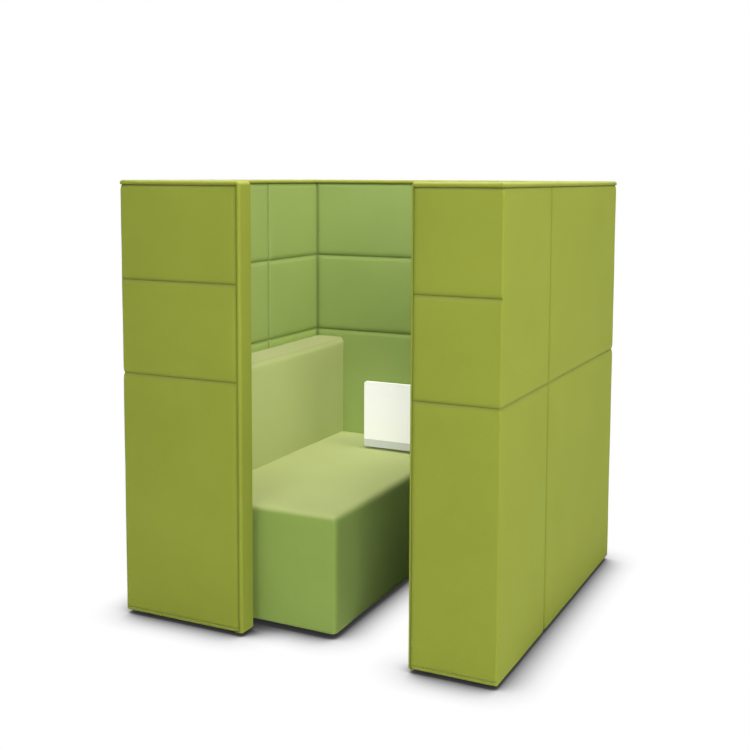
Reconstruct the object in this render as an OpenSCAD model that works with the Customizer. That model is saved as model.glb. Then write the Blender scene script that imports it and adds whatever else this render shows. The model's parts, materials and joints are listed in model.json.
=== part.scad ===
// High-back booth: five padded walls, a built-in bench and a fold-down side table.
// Drawn standing on its floor glides, with the entry towards -Y. Sizes are in millimetres.

/* [Booth] */
// Overall width across the outer side faces
booth_w = 1500; // [1400:10:1650]
// Overall depth from the entry face to the rear face
booth_d = 1440; // [1380:10:1600]
// Overall height above the floor
booth_h = 1650; // [1500:10:1800]
// Thickness of the side and rear walls
wall_t = 100; // [90:1:130]
// Thickness of the two short walls beside the entry
return_t = 80; // [72:1:110]
// Width of the entry-side wall on the bench side
left_return_w = 525; // [400:5:600]
// Width of the entry-side wall on the open side
right_return_w = 320; // [240:5:400]

/* [Padded panels] */
// Thickness of a padded wall panel at its crown
pad_t = 18; // [14:1:26]
// How much the middle of a panel stands proud of its edges
pad_crown = 3; // [1:0.5:6]
// Depth of the sewn lines below the padding beside them
seam_dip = 5; // [2:0.5:8]
// Width of the soft shoulder beside a sewn line
seam_shoulder = 14; // [6:1:30]
// Height of the sewn line above the lower tier, outside
low_seam_z = 931; // [800:5:1000]
// Height of the sewn line above the middle tier, outside
high_seam_z = 1283; // [1150:5:1400]
// How much higher the same lines run inside
inner_seam_rise = 13; // [0:1:30]
// Distance of the side walls' upright sewn line from the entry face
side_seam_y = 512; // [400:5:700]
// Distance of the inner side walls' upright sewn line from the entry face
inner_side_seam_y = 903; // [700:5:1100]
// Height of the band that closes the top of a wall
top_band_h = 16; // [10:1:30]
// Width of the band that closes the free edge of an entry-side wall
edge_band_w = 17; // [10:1:30]

/* [Wall frames] */
// Thickness of the boards on the large walls
board_t = 6; // [3:1:9]
// Width of a timber frame member
member_w = 45; // [35:1:60]
// Clearance between a piece of infill and the timber round it
infill_gap = 0.3; // [0.1:0.1:0.8]
// Number of inner studs in a large frame
inner_studs = 2; // [1:1:4]
// Shank diameter of the bolts that join the frames
bolt_d = 8; // [6:1:10]
// Head diameter of these bolts
bolt_head_d = 13; // [10:1:18]
// Head height of these bolts
bolt_head_h = 8; // [5:1:9]
// Heights of the frame bolts above the floor
bolt_heights = [250, 830, 1400];

/* [Glides] */
// Height of the floor glides under the walls
wall_glide_h = 15; // [10:1:30]
// Diameter of the floor glides under the walls
wall_glide_d = 36; // [25:1:44]
// Height of the floor glides under the bench
bench_glide_h = 20; // [15:1:40]
// Diameter of the floor glides under the bench
bench_glide_d = 32; // [25:1:50]
// Diameter of a glide's stud
glide_stud_d = 8; // [6:1:10]
// Length of a glide's stud
glide_stud_l = 30; // [20:1:35]
// Taper of a glide's foot
glide_taper = 3; // [1:0.5:6]

/* [Bench] */
// Depth of the bench from the side wall to its front face
bench_w = 746; // [650:2:800]
// Distance of the bench's end from the entry face
bench_end_y = 118; // [100:2:200]
// Height of the seat's flat edge above the floor
seat_z = 458; // [400:2:500]
// Thickness of the seat cushion at its edge
seat_cushion_t = 93; // [60:1:130]
// How much the middle of the seat cushion stands proud
seat_crown = 8; // [3:1:20]
// Radius of the cushions' soft edges
cushion_round = 24; // [10:1:40]
// Thickness of the padded bench panels
bench_pad_t = 18; // [12:1:26]
// Thickness of the bench's carcass boards
carcass_t = 18; // [12:1:25]
// Thickness of the seat deck
deck_t = 18; // [12:1:25]
// Thickness of the cover under the bench
dust_t = 2; // [1:0.5:4]
// Size of the glide blocks in the bench's corners
block_s = 60; // [45:1:80]
// Number of cross dividers in the bench
dividers = 2; // [1:1:4]

/* [Backrest] */
// Thickness of the backrest, side wall to front face
backrest_t = 145; // [110:1:200]
// Height of the backrest's top above the floor
backrest_z = 918; // [800:2:1000]
// Thickness of the backrest's timber frame
backrest_frame_t = 40; // [30:1:55]
// Thickness of the band round the backrest frame's top and end
border_t = 15; // [8:1:25]
// How much the middle of the backrest stands proud
backrest_crown = 8; // [3:1:20]

/* [Table] */
// Width of the table leaf
leaf_w = 520; // [400:5:600]
// Length of the table leaf with its grip, hinge side to free edge
leaf_l = 290; // [240:2:320]
// Thickness of the table leaf
leaf_t = 18; // [14:1:25]
// Length of the grip along the leaf's free edge
grip_l = 33; // [20:1:50]
// Corner radius of the leaf and its grip
leaf_corner = 9; // [4:1:20]
// Gap between the hanging leaf and the seat's crown
leaf_seat_gap = 10; // [5:1:40]
// Distance of the leaf's front face from the entry face
leaf_face_y = 1058; // [1000:2:1100]
// Distance of the leaf's left edge from the booth's left face
leaf_x = 490; // [460:5:560]
// Diameter of a hinge knuckle
knuckle_d = 9; // [7:0.5:12]
// Diameter of a hinge pin
pin_d = 5; // [3:0.5:6]
// Radial clearance between pin and knuckle
pin_gap = 0.05; // [0.02:0.01:0.1]
// Thickness of a hinge plate
hinge_t = 2.5; // [2:0.5:4]
// Length of one hinge along its pin
hinge_l = 60; // [40:1:90]
// Length of a hinge's plate away from the pin
hinge_reach = 34; // [24:1:45]
// Distance of a hinge's middle from the leaf's end
hinge_x = 90; // [60:5:140]
// Depth of the rail that carries the hinges
rail_d = 44; // [40:1:60]
// Height of the rail that carries the hinges
rail_h = 24; // [16:1:40]
// Thickness of the arms and of the wall plate
bracket_t = 8; // [5:1:12]
// Height of an arm
arm_h = 50; // [35:1:70]
// Height of the wall plate
wall_plate_h = 110; // [80:2:150]
// Width of the wall plate
wall_plate_w = 400; // [250:10:480]
// Diameter of a hinge screw's shank
screw_d = 4; // [3:0.5:5]
// Diameter of a hinge screw's head
screw_head_d = 7; // [6:0.5:9]
// Height of a hinge screw's head
screw_head_h = 2; // [1:0.5:2.5]
// Length of a hinge screw in the leaf or the rail
screw_l = 12; // [8:1:14]
// Colour of the outer fabric
outer_green = [0.60, 0.66, 0.20];
// Colour of the inner fabric
inner_green = [0.58, 0.68, 0.33];

/* [Hidden] */
$fn = 48;
small = 0.05;
knuckle_gap = 0.4;
screw_edge = 9;
screw_end = 12;
knuckles = 3;
bench_bolt_end = 180;
plate_bolt_edge = 25;
plate_drop = 36;
noggin_margin = 10;
rail_end = 20;
bolt_past = 6;
rail_foot = 4;
arm_foot = 12;
over = 1;
knuckle_drop = 2;
rail_sink = 0.75;
half = 0.5;
slip = 0.1;
timber = [0.80, 0.66, 0.46];
plywood = [0.74, 0.60, 0.42];
infill_grey = [0.55, 0.55, 0.55];
steel = [0.24, 0.25, 0.22];
zinc = [0.70, 0.71, 0.73];
dark = [0.10, 0.10, 0.10];
clear_grey = [0.75, 0.76, 0.75];
white = [0.95, 0.95, 0.92];
light_grey = [0.78, 0.78, 0.77];
// levels
wall_z0 = wall_glide_h;
wall_z1 = booth_h - top_band_h;
// plan lines of the walls' inner faces and the entry
in_x0 = wall_t;
in_x1 = booth_w - wall_t;
in_y0 = return_t;
in_y1 = booth_d - wall_t;
gap_x0 = left_return_w;
gap_x1 = booth_w - right_return_w;
edge_x0 = gap_x0 - edge_band_w;
edge_x1 = gap_x1 + edge_band_w;
// plan lines of the frames
fr0 = pad_t + board_t;
fr_in = wall_t - pad_t - board_t;
side_in = wall_t - pad_t;
ret_in = return_t - pad_t;
fx1 = booth_w - fr0;
rear0 = booth_d - fr_in;
rear1 = booth_d - fr0;
rear_face = booth_d - side_in;
side_frame_t = fr_in - fr0;
// sewn lines
outer_tiers = [wall_z0, low_seam_z, high_seam_z, wall_z1];
side_tiers = [wall_z0, low_seam_z, wall_z1];
in_low = low_seam_z + inner_seam_rise;
in_high = high_seam_z + inner_seam_rise;
inner_tiers = [wall_z0, in_low, in_high, wall_z1];
// bench
bench_x1 = in_x0 + bench_w;
back_x1 = in_x0 + backrest_t;
deck_z1 = seat_z - seat_cushion_t;
deck_z0 = deck_z1 - deck_t;
bench_z0 = bench_glide_h;
carc_x1 = bench_x1 - bench_pad_t;
carc_y0 = bench_end_y + bench_pad_t;
carc_z0 = bench_z0 + dust_t;
bench_bolt_z = deck_z0 - member_w;
bench_bolt_ys = [carc_y0 + bench_bolt_end, (carc_y0 + in_y1) * half, in_y1 - bench_bolt_end];
brace_w = member_w;
back_board_x = in_x0 + backrest_frame_t;
// table
leaf_z0 = seat_z + seat_crown + leaf_seat_gap;
leaf_z1 = leaf_z0 + leaf_l;
leaf_rear = leaf_face_y + leaf_t;
axis_y = leaf_rear + hinge_t * half + knuckle_d * half;
axis_z = leaf_z1 - knuckle_d * half - knuckle_drop;
rail_y0 = axis_y + knuckle_d * half - hinge_t;
rail_z1 = axis_z - knuckle_d * half - rail_sink;
rail_z0 = rail_z1 - rail_h;
hinge_xs = [leaf_x + hinge_x, leaf_x + leaf_w - hinge_x];
arm_xs = [leaf_x + hinge_x + hinge_l, leaf_x + leaf_w - hinge_x - hinge_l - bracket_t];
plate_y = in_y1 - bracket_t;
plate_z1 = rail_z0 - plate_drop;
plate_z0 = plate_z1 - wall_plate_h;
plate_x0 = leaf_x + (leaf_w - wall_plate_w) * half;
plate_bolt_xs = [plate_x0 + plate_bolt_edge, plate_x0 + wall_plate_w - plate_bolt_edge];
plate_bolt_zs = [plate_z0 + plate_bolt_edge, plate_z1 - plate_bolt_edge];
noggin_z0 = plate_z0 - noggin_margin;
noggin_z1 = plate_z1 + noggin_margin;
screw_dx = hinge_l * half - screw_end;
leaf_screw_z = axis_z - hinge_reach + screw_edge;
rail_screw_y = axis_y + hinge_reach - screw_edge;

// helpers
module placed() {
    translate([-booth_w * half, -booth_d * half, 0])
        children();
}

module slab(x, y, z) {
    translate([x[0], y[0], z[0]])
        cube([x[1] - x[0], y[1] - y[0], z[1] - z[0]]);
}

// A tile's grid lines between two sewn lines: how far each lies across the part between the
// shoulders, and how much of the shoulder and of the crown it has
tile_places = [0, 0.25, 0.5, 0.75, 1];
tile_shoulder = [0, 1, 1, 1, 1, 1];
tile_crown = [0, 0.15, 0.8, 1, 0.8, 0.15];

// Grid lines of a padded panel along one direction, from its sewn lines
function lines(seams, e) = concat([for (i = [0 : len(seams) - 2])
    let (a = seams[i], b = seams[i + 1])
    each [a, for (k = tile_places) a + e + (b - a - 2 * e) * k]],
    [seams[len(seams) - 1]]);

function repeated(tile, n) = [for (i = [0 : n - 1]) tile[i % len(tile)]];

// A closed pad on the plane w = 0 with its soft face upwards. hs holds one height a grid point.
module soft_pad(us, vs, hs) {
    nu = len(us);
    nv = len(vs);
    top = [for (j = [0 : nv - 1]) for (i = [0 : nu - 1]) [us[i], vs[j], hs[j][i]]];
    rim = concat([for (i = [0 : nu - 2]) i], [for (j = [0 : nv - 2]) j * nu + nu - 1],
        [for (i = [nu - 1 : -1 : 1]) (nv - 1) * nu + i], [for (j = [nv - 1 : -1 : 1]) j * nu]);
    nr = len(rim);
    low = [for (k = rim) [top[k][0], top[k][1], 0]];
    mid = [[(us[0] + us[nu - 1]) * half, (vs[0] + vs[nv - 1]) * half, 0]];
    n0 = nu * nv;
    faces = concat(
        [for (j = [0 : nv - 2]) for (i = [0 : nu - 2]) let (a = j * nu + i)
            each [[a, a + nu, a + nu + 1], [a, a + nu + 1, a + 1]]],
        [for (k = [0 : nr - 1]) let (m = (k + 1) % nr)
            each [[rim[k], rim[m], n0 + m], [rim[k], n0 + m, n0 + k]]],
        [for (k = [0 : nr - 1]) let (m = (k + 1) % nr) [n0 + k, n0 + m, n0 + nr]]);
    polyhedron(points = concat(top, low, mid), faces = faces);
}

// A wall panel with sewn lines at us and vs
module panel(us, vs, t) {
    gu = lines(us, seam_shoulder);
    gv = lines(vs, seam_shoulder);
    su = repeated(tile_shoulder, len(gu));
    sv = repeated(tile_shoulder, len(gv));
    cu = repeated(tile_crown, len(gu));
    cv = repeated(tile_crown, len(gv));
    base = t - pad_crown - seam_dip;
    hs = [for (j = [0 : len(gv) - 1]) [for (i = [0 : len(gu) - 1])
        base + seam_dip * min(su[i], sv[j]) + pad_crown * cu[i] * cv[j]]];
    soft_pad(gu, gv, hs);
}

// Panel directions: the soft face looks along the named axis, with its flat back at "at"
module facing_front(at) {
    translate([0, at, 0])
        rotate([90, 0, 0])
            children();
}

module facing_rear(at) {
    translate([0, at, 0])
        mirror([0, 1, 0])
            rotate([90, 0, 0])
                children();
}

module facing_right(at) {
    translate([at, 0, 0])
        rotate([90, 0, 90])
            children();
}

module facing_left(at) {
    translate([at, 0, 0])
        mirror([1, 0, 0])
            rotate([90, 0, 90])
                children();
}

// A cushion block with soft edges on its top face and flat sides. Its grid lines lie at shares
// of the edge radius and of the width, and each has its drop at the edge and its rise inside
edge_places = [0, 0.12, 0.45, 1];
inner_place = 0.3;
soft_drop = [0.88, 0.52, 0.16, 0, 0, 0, 0, 0, 0.16, 0.52, 0.88];
soft_rise = [0, 0, 0, 0.2, 0.85, 1, 0.85, 0.2, 0, 0, 0];
deepest_drop = 0.95;
edge_lines = len(edge_places) - 1;
last_soft = len(soft_drop) - 1;
function soft_lines(a, b, r) = [for (k = edge_places) a + r * k, a + (b - a) * inner_place,
    (a + b) * half, b - (b - a) * inner_place, for (k = [edge_lines : -1 : 0]) b - r * edge_places[k]];
function drop(i, hard) = (hard[0] && i < edge_lines) || (hard[1] && i > last_soft - edge_lines)
    ? 0 : soft_drop[i];

module cushion(u, v, t, r, rise, hard_u, hard_v) {
    gu = soft_lines(u[0], u[1], r);
    gv = soft_lines(v[0], v[1], r);
    hs = [for (j = [0 : len(gv) - 1]) [for (i = [0 : len(gu) - 1])
        let (d = min(deepest_drop, norm([drop(i, hard_u), drop(j, hard_v)])))
        t - r * d + rise * soft_rise[i] * soft_rise[j]]];
    soft_pad(gu, gv, hs);
}

// Timber frame members standing between two plan lines
function studs(a, b, n) = [for (i = [1 : n]) a + (b - a - member_w) * i / (n + 1)];
rail_zs = [wall_z0, low_seam_z - member_w * half, high_seam_z - member_w * half, wall_z1 - member_w];

// Bays between the uprights and between the rails, which the infill takes up
function bays(a, b, ends, n) = let (s = n > 0 ? studs(a, b, n) : [])
    let (from = concat([a + ends[0]], [for (p = s) p + member_w]), to = concat(s, [b - ends[1]]))
    [for (i = [0 : n]) [from[i] + infill_gap, to[i] - infill_gap]];
rail_bays = [for (i = [1 : len(rail_zs) - 1])
    [rail_zs[i - 1] + member_w + infill_gap, rail_zs[i] - infill_gap]];

module frame_x(x, y, end_w, n) {
    for (z = rail_zs)
        slab(x, y, [z, z + member_w]);
    slab([x[0], x[0] + end_w[0]], y, [wall_z0, wall_z1]);
    slab([x[1] - end_w[1], x[1]], y, [wall_z0, wall_z1]);
    if (n > 0)
        for (s = studs(x[0], x[1], n))
            slab([s, s + member_w], y, [wall_z0, wall_z1]);
}

module frame_y(x, y, n) {
    for (z = rail_zs)
        slab(x, y, [z, z + member_w]);
    slab(x, [y[0], y[0] + member_w], [wall_z0, wall_z1]);
    slab(x, [y[1] - member_w, y[1]], [wall_z0, wall_z1]);
    if (n > 0)
        for (s = studs(y[0], y[1], n))
            slab(x, [s, s + member_w], [wall_z0, wall_z1]);
}

module infill_x(x, y, ends, n) {
    for (b = bays(x[0], x[1], ends, n), z = rail_bays)
        slab(b, y, z);
}

module infill_y(x, y, n) {
    for (b = bays(y[0], y[1], [member_w, member_w], n), z = rail_bays)
        slab(x, b, z);
}

// Bolts that join the frames at the four corners
module corner_bolts(grow) {
    for (x = [(fr0 + fr_in) * half, booth_w - (fr0 + fr_in) * half], z = bolt_heights) {
        bolt_run(x, rear0 - member_w, rear0 + side_frame_t - bolt_past, 1, z, grow);
        bolt_run(x, ret_in + member_w, pad_t + bolt_past, -1, z, grow);
    }
}

// One bolt along Y: the head sits in a pocket of the stile that it passes first
module bolt_run(x, y_head, y_tip, way, z, grow) {
    shank0 = min(y_head, y_tip);
    translate([x, shank0, z])
        rotate([-90, 0, 0])
            cylinder(d = bolt_d + 2 * grow, h = abs(y_tip - y_head));
    translate([x, way > 0 ? y_head : y_head - bolt_head_h, z])
        rotate([-90, 0, 0])
            cylinder(d = bolt_head_d + 2 * grow, h = bolt_head_h);
}

// Bolts that hold the bench to the side wall's lower rail
module bench_bolts(grow) {
    for (y = bench_bolt_ys) {
        translate([fr0 + bolt_past, y, bench_bolt_z])
            rotate([0, 90, 0])
                cylinder(d = bolt_d + 2 * grow, h = in_x0 + carcass_t - fr0 - bolt_past);
        translate([in_x0 + carcass_t, y, bench_bolt_z])
            rotate([0, 90, 0])
                cylinder(d = bolt_head_d + 2 * grow, h = bolt_head_h);
    }
}

// Bolts that hold the table's wall plate to the rear wall's cross rail
module plate_bolts(grow) {
    for (x = plate_bolt_xs, z = plate_bolt_zs) {
        translate([x, plate_y, z])
            rotate([-90, 0, 0])
                cylinder(d = bolt_d + 2 * grow, h = rear0 + side_frame_t * half - plate_y);
        translate([x, plate_y - bolt_head_h * half, z])
            rotate([-90, 0, 0])
                cylinder(d = bolt_head_d + 2 * grow, h = bolt_head_h * half);
    }
}

mid_side = (fr0 + fr_in) * half;
mid_ret = (pad_t + ret_in) * half;
glide_spots = [[mid_side + member_w, booth_d - mid_side], [booth_w * half, booth_d - mid_side],
    [booth_w - mid_side - member_w, booth_d - mid_side], [mid_side, booth_d * half],
    [booth_w - mid_side, booth_d * half], [mid_side + member_w, mid_ret],
    [edge_x0 - member_w, mid_ret], [edge_x1 + member_w, mid_ret],
    [booth_w - mid_side - member_w, mid_ret]];
bench_spots = [[in_x0 + carcass_t + block_s * half, carc_y0 + carcass_t + block_s * half],
    [carc_x1 - carcass_t - block_s * half, carc_y0 + carcass_t + block_s * half],
    [in_x0 + carcass_t + block_s * half, in_y1 - carcass_t - block_s * half],
    [carc_x1 - carcass_t - block_s * half, in_y1 - carcass_t - block_s * half]];

module studs_at(spots, z0, grow) {
    for (s = spots)
        translate([s[0], s[1], z0])
            cylinder(d = glide_stud_d + 2 * grow, h = glide_stud_l);
}

module glides_at(spots, d, h) {
    for (s = spots)
        translate([s[0], s[1], 0])
            union() {
                cylinder(d1 = d - 2 * glide_taper, d2 = d, h = glide_taper);
                translate([0, 0, glide_taper])
                    cylinder(d = d, h = h - glide_taper);
                cylinder(d = glide_stud_d, h = h + glide_stud_l - over);
            }
}

// frames
module table_noggin(grow) {
    slab([fr0, booth_w - fr0], [rear0 - grow, rear1 + grow], [noggin_z0 - grow, noggin_z1 + grow]);
}

module bench_rail(grow) {
    reach = member_w * half + grow;
    slab([fr0 - grow, fr_in + grow], [ret_in, rear0], [bench_bolt_z - reach, bench_bolt_z + reach]);
}

module back_frame_raw() {
    frame_x([fr0, booth_w - fr0], [rear0, rear1], [side_frame_t, side_frame_t], inner_studs);
    table_noggin(0);
}

module left_frame_raw() {
    frame_y([fr0, fr_in], [ret_in, rear0], inner_studs);
    bench_rail(0);
}

module right_frame_raw() {
    frame_y([booth_w - fr_in, fx1], [ret_in, rear0], inner_studs);
}

module left_return_frame_raw() {
    frame_x([fr0, edge_x0], [pad_t, ret_in], [side_frame_t, member_w], 0);
}

module right_return_frame_raw() {
    frame_x([edge_x1, fx1], [pad_t, ret_in], [member_w, side_frame_t], 0);
}

module back_wall_frame() {
    color(timber)
        placed()
            difference() {
                back_frame_raw();
                corner_bolts(slip);
                plate_bolts(slip);
                studs_at(glide_spots, wall_z0, slip);
            }
}

module left_wall_frame() {
    color(timber)
        placed()
            difference() {
                left_frame_raw();
                corner_bolts(slip);
                bench_bolts(slip);
                studs_at(glide_spots, wall_z0, slip);
            }
}

module right_wall_frame() {
    color(timber)
        placed()
            difference() {
                right_frame_raw();
                corner_bolts(slip);
                studs_at(glide_spots, wall_z0, slip);
            }
}

module left_return_frame() {
    color(timber)
        placed()
            difference() {
                left_return_frame_raw();
                corner_bolts(slip);
                studs_at(glide_spots, wall_z0, slip);
            }
}

module right_return_frame() {
    color(timber)
        placed()
            difference() {
                right_return_frame_raw();
                corner_bolts(slip);
                studs_at(glide_spots, wall_z0, slip);
            }
}

// acoustic infill between the frame members
module back_wall_infill() {
    color(infill_grey)
        placed()
            difference() {
                infill_x([fr0, booth_w - fr0], [rear0, rear1], [side_frame_t, side_frame_t],
                    inner_studs);
                table_noggin(infill_gap);
            }
}

module left_wall_infill() {
    color(infill_grey)
        placed()
            difference() {
                infill_y([fr0, fr_in], [ret_in, rear0], inner_studs);
                bench_rail(infill_gap);
            }
}

module right_wall_infill() {
    color(infill_grey)
        placed()
            infill_y([booth_w - fr_in, fx1], [ret_in, rear0], inner_studs);
}

module left_return_infill() {
    color(infill_grey)
        placed()
            infill_x([fr0, edge_x0], [pad_t, ret_in], [side_frame_t, member_w], 0);
}

module right_return_infill() {
    color(infill_grey)
        placed()
            infill_x([edge_x1, fx1], [pad_t, ret_in], [member_w, side_frame_t], 0);
}

// boards on the large walls
module back_wall_outer_board() {
    color(plywood)
        placed()
            slab([pad_t, booth_w - pad_t], [rear1, rear1 + board_t], [wall_z0, wall_z1]);
}

module left_wall_outer_board() {
    color(plywood)
        placed()
            slab([pad_t, fr0], [pad_t, rear1], [wall_z0, wall_z1]);
}

module right_wall_outer_board() {
    color(plywood)
        placed()
            slab([fx1, fx1 + board_t], [pad_t, rear1], [wall_z0, wall_z1]);
}

module back_wall_inner_board() {
    color(plywood)
        placed()
            difference() {
                slab([side_in, booth_w - side_in], [rear_face, rear0], [wall_z0, wall_z1]);
                plate_bolts(slip);
            }
}

module left_wall_inner_board() {
    color(plywood)
        placed()
            difference() {
                slab([fr_in, side_in], [ret_in, rear_face], [wall_z0, wall_z1]);
                bench_bolts(slip);
            }
}

module right_wall_inner_board() {
    color(plywood)
        placed()
            slab([booth_w - side_in, booth_w - fr_in], [ret_in, rear_face], [wall_z0, wall_z1]);
}

// padded outer panels
module back_wall_outer_panel() {
    color(outer_green)
        placed()
            facing_rear(booth_d - pad_t)
                panel([pad_t, booth_w * half, booth_w - pad_t], side_tiers, pad_t);
}

module left_wall_outer_panel() {
    color(outer_green)
        placed()
            facing_left(pad_t)
                panel([pad_t, side_seam_y, booth_d], side_tiers, pad_t);
}

module right_wall_outer_panel() {
    color(outer_green)
        placed()
            facing_right(booth_w - pad_t)
                panel([pad_t, side_seam_y, booth_d], side_tiers, pad_t);
}

module left_return_outer_panel() {
    color(outer_green)
        placed()
            facing_front(pad_t)
                panel([0, edge_x0], outer_tiers, pad_t);
}

module right_return_outer_panel() {
    color(outer_green)
        placed()
            facing_front(pad_t)
                panel([edge_x1, booth_w], outer_tiers, pad_t);
}

// padded inner panels
module back_wall_inner_panel() {
    color(inner_green)
        placed()
            difference() {
                facing_front(rear_face)
                    panel([in_x0, booth_w * half, in_x1], inner_tiers, pad_t);
                plate_seat();
                plate_bolts(slip);
            }
}

module left_wall_inner_panel() {
    color(inner_green)
        placed()
            difference() {
                facing_right(side_in)
                    panel([in_y0, inner_side_seam_y, rear_face], inner_tiers, pad_t);
                bench_bolts(slip);
            }
}

module right_wall_inner_panel() {
    color(inner_green)
        placed()
            facing_left(booth_w - side_in)
                panel([in_y0, inner_side_seam_y, rear_face], inner_tiers, pad_t);
}

module left_return_inner_panel() {
    color(inner_green)
        placed()
            facing_rear(ret_in)
                panel([side_in, edge_x0], inner_tiers, pad_t);
}

module right_return_inner_panel() {
    color(inner_green)
        placed()
            facing_rear(ret_in)
                panel([edge_x1, booth_w - side_in], inner_tiers, pad_t);
}

// bands along the tops and the free edges
module band(outline) {
    translate([0, 0, wall_z1])
        linear_extrude(top_band_h)
            polygon(outline);
}

module back_wall_top_band() {
    color(outer_green)
        placed()
            band([[0, booth_d], [in_x0, in_y1], [in_x1, in_y1], [booth_w, booth_d]]);
}

module left_wall_top_band() {
    color(outer_green)
        placed()
            band([[0, 0], [in_x0, in_y0], [in_x0, in_y1], [0, booth_d]]);
}

module right_wall_top_band() {
    color(outer_green)
        placed()
            band([[booth_w, 0], [booth_w, booth_d], [in_x1, in_y1], [in_x1, in_y0]]);
}

module left_return_top_band() {
    color(outer_green)
        placed()
            band([[0, 0], [gap_x0, 0], [gap_x0, in_y0], [in_x0, in_y0]]);
}

module right_return_top_band() {
    color(outer_green)
        placed()
            band([[gap_x1, 0], [booth_w, 0], [in_x1, in_y0], [gap_x1, in_y0]]);
}

module left_return_edge_band() {
    color(outer_green)
        placed()
            slab([edge_x0, gap_x0], [0, in_y0], [wall_z0, wall_z1]);
}

module right_return_edge_band() {
    color(outer_green)
        placed()
            slab([gap_x1, edge_x1], [0, in_y0], [wall_z0, wall_z1]);
}

// fasteners and floor glides
module frame_bolts() {
    color(zinc)
        placed() {
            corner_bolts(0);
            bench_bolts(0);
        }
}

module wall_glides() {
    color(dark)
        placed()
            glides_at(glide_spots, wall_glide_d, wall_glide_h);
}

module bench_glides() {
    color(clear_grey)
        placed()
            glides_at(bench_spots, bench_glide_d, bench_glide_h);
}

// bench carcass
module bench_side_board() {
    color(plywood)
        placed()
            slab([carc_x1 - carcass_t, carc_x1], [carc_y0, in_y1], [carc_z0, deck_z0]);
}

module bench_back_board() {
    color(plywood)
        placed()
            difference() {
                slab([in_x0, in_x0 + carcass_t], [carc_y0, in_y1], [carc_z0, deck_z0]);
                bench_bolts(slip);
            }
}

module bench_end_boards() {
    color(plywood)
        placed() {
            slab([in_x0 + carcass_t, carc_x1 - carcass_t], [carc_y0, carc_y0 + carcass_t],
                [carc_z0, deck_z0]);
            slab([in_x0 + carcass_t, carc_x1 - carcass_t], [in_y1 - carcass_t, in_y1],
                [carc_z0, deck_z0]);
        }
}

module bench_dividers() {
    color(plywood)
        placed()
            for (i = [1 : dividers])
                let (y = carc_y0 + (in_y1 - carc_y0 - carcass_t) * i / (dividers + 1))
                    slab([in_x0 + carcass_t, carc_x1 - carcass_t], [y, y + carcass_t],
                        [carc_z0, deck_z0]);
}

module bench_glide_blocks() {
    color(timber)
        placed()
            difference() {
                for (s = bench_spots)
                    slab([s[0] - block_s * half, s[0] + block_s * half],
                        [s[1] - block_s * half, s[1] + block_s * half], [carc_z0, carc_z0 + block_s]);
                studs_at(bench_spots, bench_z0, slip);
            }
}

module seat_deck() {
    color(plywood)
        placed()
            slab([in_x0, carc_x1], [carc_y0, in_y1], [deck_z0, deck_z1]);
}

module bench_dust_cover() {
    color(dark)
        placed()
            difference() {
                slab([in_x0, carc_x1], [carc_y0, in_y1], [bench_z0, carc_z0]);
                studs_at(bench_spots, bench_z0 - over, slip);
            }
}

// bench upholstery
module seat_cushion() {
    color(inner_green)
        placed()
            translate([0, 0, deck_z1])
                cushion([back_x1, bench_x1], [bench_end_y, in_y1], seat_cushion_t, cushion_round,
                    seat_crown, [true, false], [false, true]);
}

module bench_side_panel() {
    color(inner_green)
        placed()
            facing_right(carc_x1)
                panel([bench_end_y, in_y1], [bench_z0, deck_z1], bench_pad_t);
}

module bench_end_panel() {
    color(inner_green)
        placed()
            facing_front(carc_y0)
                panel([in_x0, carc_x1], [bench_z0, deck_z1], bench_pad_t);
}

// backrest
module backrest_frame() {
    z1 = backrest_z - border_t;
    y0 = bench_end_y + border_t;
    color(timber)
        placed() {
            slab([in_x0, back_board_x], [y0, in_y1], [deck_z1, deck_z1 + member_w]);
            slab([in_x0, back_board_x], [y0, in_y1], [z1 - member_w, z1]);
            for (y = [y0, (y0 + in_y1 - member_w) * half, in_y1 - member_w])
                slab([in_x0, back_board_x], [y, y + member_w], [deck_z1 + member_w, z1 - member_w]);
        }
}

module backrest_board() {
    color(plywood)
        placed()
            slab([back_board_x, back_board_x + board_t], [bench_end_y + border_t, in_y1],
                [deck_z1, backrest_z - border_t]);
}

module backrest_border() {
    x1 = back_board_x + board_t;
    color(inner_green)
        placed() {
            slab([in_x0, x1], [bench_end_y, in_y1], [backrest_z - border_t, backrest_z]);
            slab([in_x0, x1], [bench_end_y, bench_end_y + border_t], [deck_z1, backrest_z - border_t]);
        }
}

module backrest_cushion() {
    color(inner_green)
        placed()
            facing_right(back_board_x + board_t)
                cushion([bench_end_y, in_y1], [deck_z1, backrest_z],
                    back_x1 - back_board_x - board_t - backrest_crown, cushion_round, backrest_crown,
                    [false, true], [true, false]);
}

// table
module plate_seat() {
    slab([plate_x0 - slip, plate_x0 + wall_plate_w + slip], [plate_y - slip, in_y1 + over],
        [plate_z0 - slip, plate_z1 + slip]);
}

// The arms run level from the wall plate and rise to the rail, out of the leaf's path
module arm(x) {
    y0 = rail_y0 + rail_foot;
    y1 = rail_y0 + rail_d - rail_foot;
    translate([x + bracket_t, 0, 0])
        rotate([0, -90, 0])
            linear_extrude(bracket_t)
                polygon([[plate_z1 - arm_h, plate_y], [plate_z1, plate_y], [plate_z1, y1 + arm_foot],
                    [rail_z0, y1], [rail_z0, y0], [plate_z1 - arm_h + arm_foot, y0],
                    [plate_z1 - arm_h, y0 + arm_foot]]);
}

module table_wall_plate() {
    color(steel)
        placed()
            difference() {
                slab([plate_x0, plate_x0 + wall_plate_w], [plate_y, in_y1], [plate_z0, plate_z1]);
                plate_bolts(slip);
            }
}

module table_arms() {
    color(steel)
        placed()
            for (x = arm_xs)
                arm(x);
}

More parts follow.
